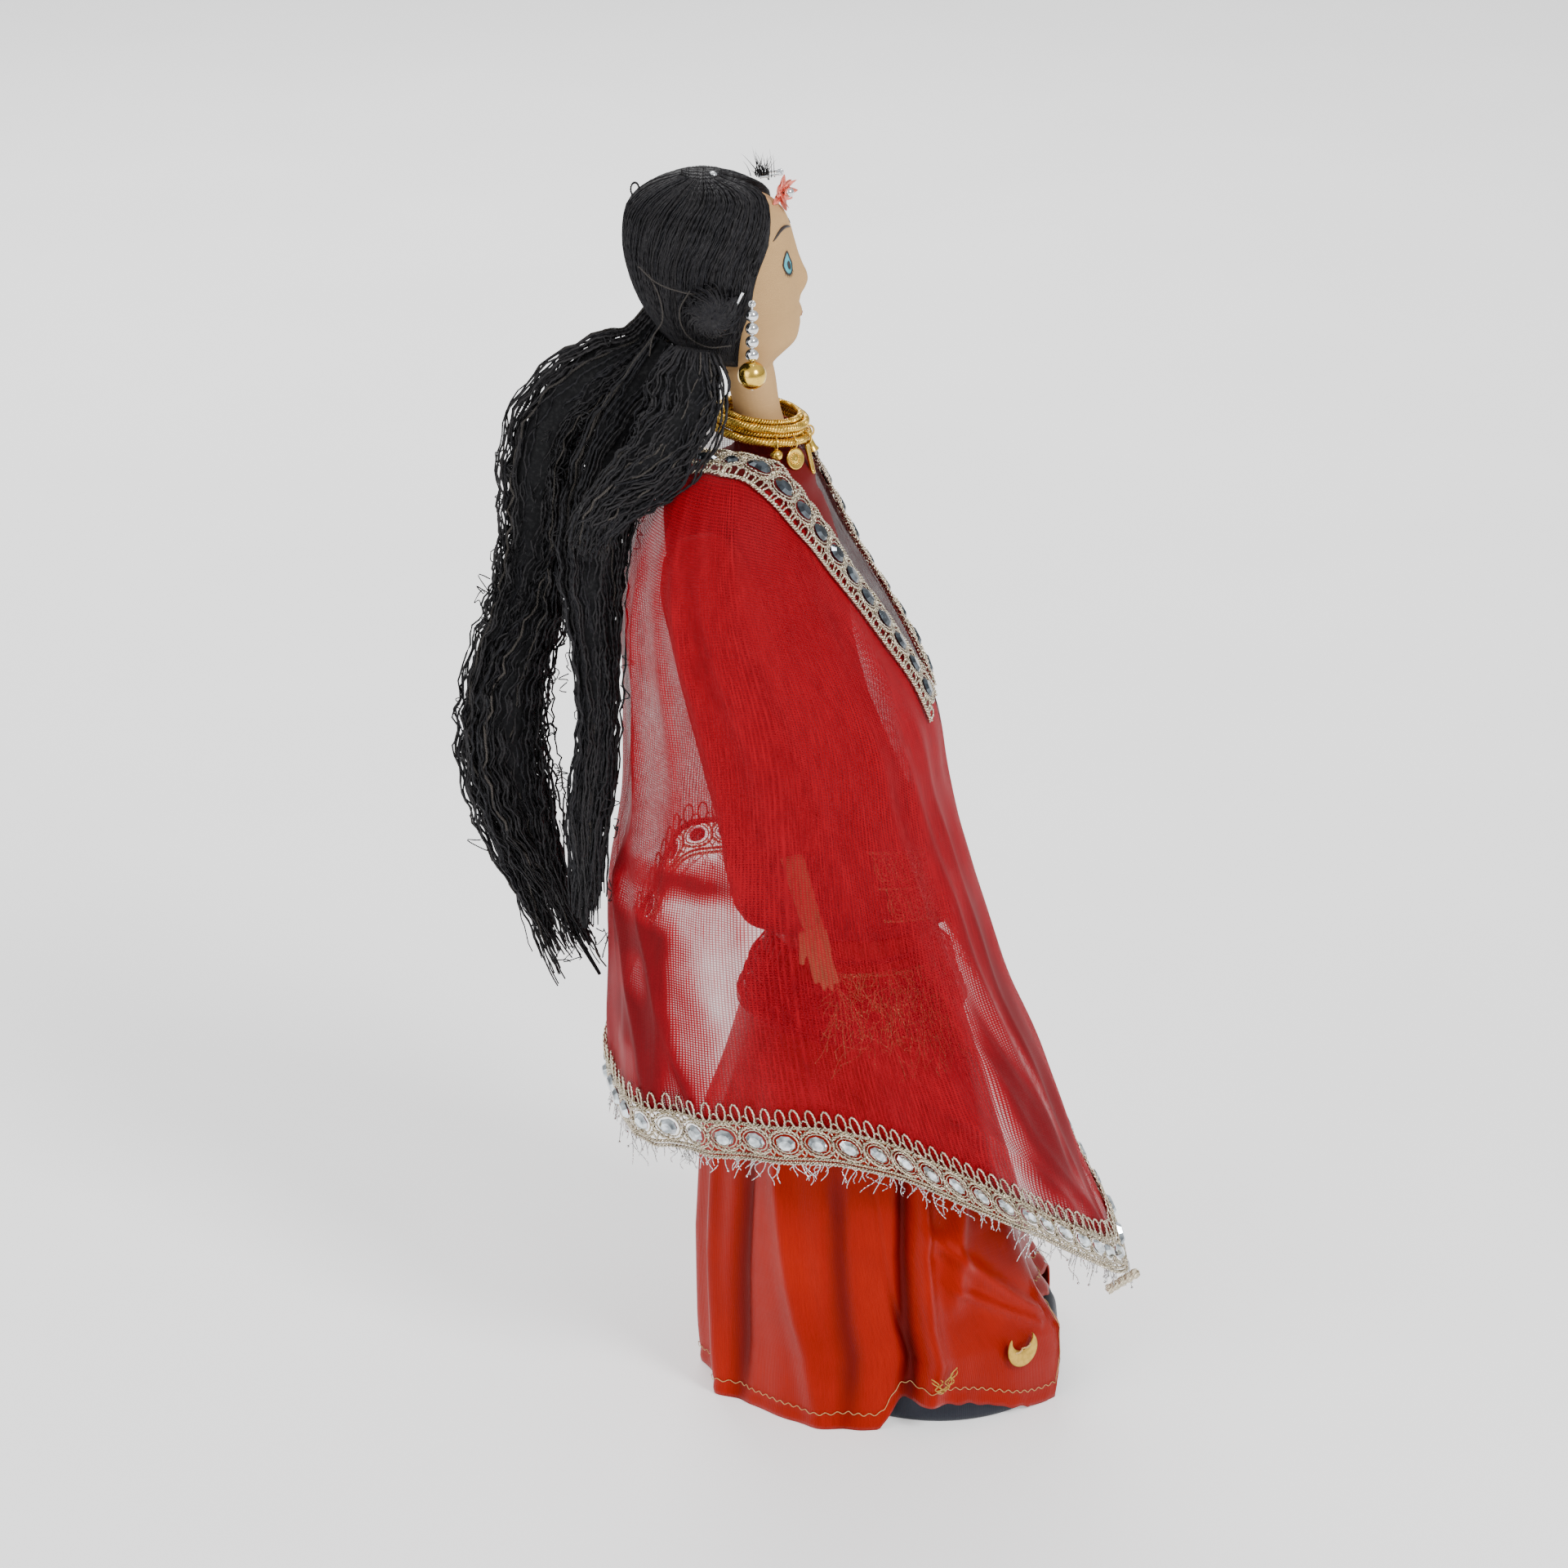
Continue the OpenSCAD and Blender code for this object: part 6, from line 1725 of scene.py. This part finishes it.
class DOLL_OT_charms(bpy.types.Operator):
    """Five gilt charms on rings: bead, disc, bar, bell and drop"""
    bl_idname = "doll.charms"
    bl_label = "Charms"

    def execute(self, context):
        gold = gold_metal()
        ring_r = 1.9
        t = ring_angles(48)
        for name in ("bead", "disc", "bar", "bell", "drop"):
            place, out, down, axis = charm_frame(f"charm_{name}_swing")
            shape = Shape()
            ring = place + ring_r * (np.cos(t)[:, None] * out + np.sin(t)[:, None] * np.array([0, 0, 1.0]))
            shape.tubes(ring, 0.3, 8, closed=True)
            top = place + down * (ring_r + 0.25)
            flat_out = unit(np.cross(axis, down))
            if name == "bead":
                shape.turned(ball_profile(1.9, 0.3), place + down * (ring_r + 1.8), 40, down)
                shape.turned([(0.3, -0.2), (0.75, 0), (0.9, 0.35), (0.5, 0.6)], top - down * 0.3, 24, down)
            elif name == "drop":
                rows = [(0.3, -0.4), (0.7, 0.1), (1.3, 0.9), (2.0, 1.9), (2.2, 2.6), (2.0, 3.5), (1.4, 4.1), (0.6, 4.4),
                        (0.02, 4.45)]
                line = smooth_line([(r, h, 0) for r, h in rows], 40)[:, :2]
                shape.turned(line, top, 40, down)
            elif name == "bell":
                rows = [(0.02, -0.3), (0.6, -0.2), (0.8, 0.1), (1.0, 0.8), (1.25, 1.8), (1.6, 2.9), (2.05, 3.7),
                        (2.2, 4.0), (2.05, 4.02), (1.5, 3.1), (1.05, 1.9), (0.7, 0.9), (0.02, 0.5)]
                line = smooth_line([(r, h, 0) for r, h in rows], 60)[:, :2]
                shape.turned(line, top, 48, down)
                shape.turned(ball_profile(0.65), top + down * 3.9, 24, down)
            elif name == "disc":
                centre = place + down * (ring_r + 3.2)
                rows = [(0.02, 0.2), (0.6, 0.5), (1.0, 0.25), (2.2, 0.22), (2.7, 0.5), (3.1, 0.5), (3.3, 0.2),
                        (3.3, -0.2), (3.1, -0.4), (0.02, -0.4)]
                shape.turned(rows, centre, 64, flat_out)
                k = np.arange(14) * 2 * np.pi / 14
                side2 = np.cross(flat_out, down)
                for c in k:
                    spot = centre + 1.65 * (math.cos(c) * down + math.sin(c) * side2) + flat_out * 0.2
                    shape.turned(ball_profile(0.34, 0, 8), spot, 10, flat_out)
            else:
                # Bar: a flat bar with a raised rim and a rounded foot
                side2 = np.cross(flat_out, down)
                q = ring_angles(64)
                px = np.sign(np.cos(q)) * np.abs(np.cos(q)) ** 0.35 * 1.2
                pz = np.sign(np.sin(q)) * np.abs(np.sin(q)) ** 0.2 * 4.3
                centre = place + down * (ring_r + 4.2)
                rows = []
                for k, h in ((0.02, 0.15), (0.66, 0.15), (0.72, 0.42), (0.95, 0.42), (1.0, 0.25), (1.0, -0.25),
                             (0.95, -0.4), (0.02, -0.4)):
                    tall = np.sign(pz) * np.maximum(np.abs(pz) - 1.2 * (1 - k), 0)
                    rows.append(centre + (px * k)[:, None] * side2 + tall[:, None] * down + h * flat_out)
                shape.surface(np.stack(rows), wrap_m=True)
                shape.turned(ball_profile(0.9), centre + down * 4.5, 24, down)
            shape.make(f"charm_{name}_gilt", f"charm_{name}", [gold], [f"pendant_{name}"], "gold", weld=0.01)
        return {"FINISHED"}


BEAD_BORE = 0.42  # radius of the hole for the wire


class DOLL_OT_earrings(bpy.types.Operator):
    """Earrings: four silver beads and a gold bead on a wire that hangs from a pin"""
    bl_idname = "doll.earrings"
    bl_label = "Earrings"

    def execute(self, context):
        silver, gold = silver_metal(), gold_metal()
        for name in ("right", "left"):
            beads = [(f"silver_bead_{name}_{k}", f"bead_{name}_{k}", silver, "silver", 30, 0.5, 48)
                     for k in (1, 2, 3, 4)]
            beads.append((f"gold_bead_{name}", f"gold_ball_{name}", gold, "gold", 44, 0.6, 72))
            for node, piece, finish, slot, steps, inset, spokes in beads:
                mid, half = box_mm(node)
                row = ball_profile(half[0], BEAD_BORE, steps)
                row = np.concatenate([row, [[BEAD_BORE, row[-1, 1] - inset], [BEAD_BORE, row[0, 1] + inset]]])
                Shape().surface(revolve(row, mid, spokes), wrap_m=True, wrap_n=True).make(
                    piece, f"earring_{name}", [finish], [node], slot)
            set_cad(f"ear_wire_{name}", silver)
            set_cad(f"ear_pin_{name}", silver)
        return {"FINISHED"}


class DOLL_OT_trims(bpy.types.Operator):
    """Forehead star with its bead, and the crescent sequin on the skirt"""
    bl_idname = "doll.trims"
    bl_label = "Star and sequin"

    def execute(self, context):
        foil = metal("Coral foil", (0.82, 0.22, 0.16), 0.28, 0.25)
        pin, _ = joint_mm("star_lift")
        r = box_mm("tikka_star")[1][1] / math.cos(math.radians(30))
        centre = pin + np.array([0.75, 0, -r - 0.6])
        star = Shape()
        # Petals: two tiers of six, each a long diamond with a ridge, curling forward to its tip
        s, w = np.linspace(0, 1, 14)[:, None], np.linspace(-1, 1, 9)[None]
        for tier, (size, turn, bend) in enumerate(((1.0, 90, 1.3), (0.8, 60, 2.8))):
            for k in range(6):
                q = math.radians(60 * k + turn)
                width = 1.55 * np.sin(np.pi * np.clip(s * 0.86 + 0.14, 0, 1)) ** 0.8 * (1 - 0.2 * tier)
                rad = size * r * s
                curl = bend * s ** 2 * (0.55 + 0.75 * math.sin(2.4 * k + tier))
                x = 0.25 * tier + curl + 0.35 * (1 - np.abs(w)) * np.sin(np.pi * s)
                y = rad * math.cos(q) - w * width * math.sin(q)
                z = rad * math.sin(q) + w * width * math.cos(q)
                x, y = 0.85 * x + 0.53 * y, 0.85 * y - 0.53 * x
                front = centre + xyz(x, y, z)
                back = front - np.array([0.19, -0.12, 0])
                star.surface(front)
                star.surface(back, flip=True)
                rim = np.concatenate([front[:, :1], back[:, :1]], 1)
                star.surface(rim, flip=True)
                star.surface(np.concatenate([front[:, -1:], back[:, -1:]], 1))
                star.surface(np.stack([front[-1], back[-1]]))
        t = ring_angles(40)
        star.tubes(pin + xyz(0.75 * np.cos(t), 0 * t, 0.75 * np.sin(t)), 0.35, 8, closed=True, slot=1)
        star.make("foil_star", "forehead_star", [foil, silver_metal()], ["tikka_star"], "peach_foil", weld=0.01)
        Shape().turned(ball_profile(1.5, 0.3), box_mm("tikka_bead")[0], 40, (1, 0, 0)).make(
            "star_bead", "forehead_star", [silver_metal()], ["tikka_bead"], "silver")
        set_cad("tikka_hook", silver_metal())

        # Sequin: a thin cupped crescent with a rim, and the stitch through its hole
        place, axis = joint_mm("sequin_turn")
        axis = unit(axis)
        up = unit(np.array([0, 0, 1.0]) - axis * axis[2])
        side = np.cross(up, axis)
        t, e = np.linspace(-2.35, 2.35, 60), np.linspace(-1, 1, 60)
        outer = 6 * np.stack([np.cos(t), np.sin(t)], -1)
        cut = np.stack([-4.25 + 4.6 * np.sqrt(np.maximum(0, 1 - (e * 0.93) ** 2)), 4.27 * e], -1)
        rows = []
        for k, h in ((0, 0.0), (0.06, 0.35), (0.3, 0.45), (0.7, 0.45), (0.94, 0.35), (1, 0.0), (0.94, -0.1),
                     (0.5, 0.12), (0.06, -0.1)):
            p = outer * (1 - k) + cut * k
            rows.append(place + p[:, :1] * -up + p[:, 1:] * side + (0.2 + h) * axis)
        shape = Shape().surface(np.stack(rows), wrap_n=True, flip=True)
        old_gold = metal("Old gold", (0.62, 0.40, 0.08), 0.35, 0.3)
        shape.make("crescent_sequin", "sequin", [old_gold], ["hem_sequin"], "gold")
        s = np.linspace(0, 1, 30)
        stitch = Shape()
        for k in (-1, 1):
            rise = (0.9 * np.sin(np.pi * s) + 0.15)[:, None] * axis
            path = place + (k * 3.4 * s)[:, None] * side + rise + (0.8 * k * s)[:, None] * up
            stitch.tubes(path, 0.3, 6, first=k + 1)
        cream = cream_thread()
        stitch.make("sequin_thread", "stand", [cream], ["sequin_stitch"], "skin_cloth")
        return {"FINISHED"}


# Stage, in metres: half the floor's side, and the camera's place, downward view and lens
FLOOR = 9
CAMERA_PLACE, CAMERA_TILT, LENS_MM = (-0.0486, -1.4371, 0.7810), math.radians(68), 6187 / 1920 * 36


class DOLL_OT_stage(bpy.types.Operator):
    """Pale floor, soft lights and the camera"""
    bl_idname = "doll.stage"
    bl_label = "Stage"

    def execute(self, context):
        floor = bpy.data.meshes.new("floor")
        floor.from_pydata([(-FLOOR, -FLOOR, 0), (FLOOR, -FLOOR, 0), (FLOOR, FLOOR, 0), (-FLOOR, FLOOR, 0)], [],
                          [(0, 1, 2, 3)])
        obj = bpy.data.objects.new("floor", floor)
        context.scene.collection.objects.link(obj)
        def pale(tree):
            grain = noise(tree, object_coords(tree), 6.0, 2.0)
            base = colour_mix(tree, ramp(tree, grain, 0.3, 0.7), (0.86, 0.86, 0.86, 1), (0.9, 0.9, 0.9, 1))
            return {"Base Color": base, "Roughness": 0.9, "Emission Color": (1, 1, 1, 1), "Emission Strength": 0.5}
        floor.materials.append(finish_material("Pale floor", pale))
        world = context.scene.world or bpy.data.worlds.new("World")
        context.scene.world = world
        world.use_nodes = True
        back = world.node_tree.nodes.get("Background") or world.node_tree.nodes.new("ShaderNodeBackground")
        tree = world.node_tree
        up = add(tree, "ShaderNodeTexCoord").outputs["Generated"]
        height = add(tree, "ShaderNodeSeparateXYZ", {0: up}).outputs[2]
        shade = colour_mix(tree, ramp(tree, height, -0.1, 0.75), (0.42, 0.43, 0.46, 1), (1.0, 1.0, 1.0, 1))
        tree.links.new(shade, back.inputs["Color"])
        back.inputs["Strength"].default_value = 0.85
        for name, place, aim, size, power in (("key", (1.0, -1.25, 1.6), (-0.05, 0, 0.2), 0.55, 36),
                                              ("fill", (-1.3, -1.1, 0.9), (-0.05, 0, 0.2), 1.2, 12),
                                              ("back", (-0.3, 1.5, 1.3), (-0.05, 0, 0.25), 1.0, 22)):
            data = bpy.data.lights.new(name, "AREA")
            data.size, data.energy = size, power
            lamp = bpy.data.objects.new(name, data)
            context.scene.collection.objects.link(lamp)
            lamp.location = place
            aim = np.array(aim) - np.array(place)
            lamp.rotation_euler = (math.atan2(math.hypot(aim[0], aim[1]), -aim[2]), 0,
                                   math.atan2(aim[1], aim[0]) - math.pi / 2)
        data = bpy.data.cameras.new("camera")
        data.sensor_width, data.lens = 36, LENS_MM
        data.clip_start, data.clip_end = 0.05, 20
        camera = bpy.data.objects.new("camera", data)
        context.scene.collection.objects.link(camera)
        camera.location, camera.rotation_euler = CAMERA_PLACE, (CAMERA_TILT, 0, 0)
        context.scene.camera = camera
        return {"FINISHED"}


class DOLL_PT_panel(bpy.types.Panel):
    """Lists the doll's sizes, colours and pieces"""
    bl_idname = "DOLL_PT_panel"
    bl_label = "Veiled Cloth Doll"
    bl_space_type = "VIEW_3D"
    bl_region_type = "UI"
    bl_category = "Doll"

    def draw(self, context):
        for group in (context.scene.doll_sizes, context.scene.doll_colours):
            box = self.layout.box()
            for name in group.__annotations__:
                box.prop(group, name)
        for operator in OPERATORS:
            self.layout.operator(operator.bl_idname)


OPERATORS = (DOLL_OT_stage, DOLL_OT_stand, DOLL_OT_body, DOLL_OT_blouse, DOLL_OT_skirt, DOLL_OT_sash, DOLL_OT_arms,
             DOLL_OT_veil, DOLL_OT_upper_lace, DOLL_OT_lower_lace, DOLL_OT_head, DOLL_OT_hair, DOLL_OT_tresses,
             DOLL_OT_choker, DOLL_OT_charms, DOLL_OT_earrings, DOLL_OT_trims)
CLASSES = (DollSizes, DollColours) + OPERATORS + (DOLL_PT_panel,)


def register():
    for item in CLASSES:
        bpy.utils.register_class(item)
    bpy.types.Scene.doll_sizes = bpy.props.PointerProperty(type=DollSizes)
    bpy.types.Scene.doll_colours = bpy.props.PointerProperty(type=DollColours)


def unregister():
    del bpy.types.Scene.doll_colours
    del bpy.types.Scene.doll_sizes
    for item in reversed(CLASSES):
        bpy.utils.unregister_class(item)


def main():
    register()
    for operator in OPERATORS:
        group, name = operator.bl_idname.split(".")
        getattr(getattr(bpy.ops, group), name)()


if __name__ == "__main__":
    main()
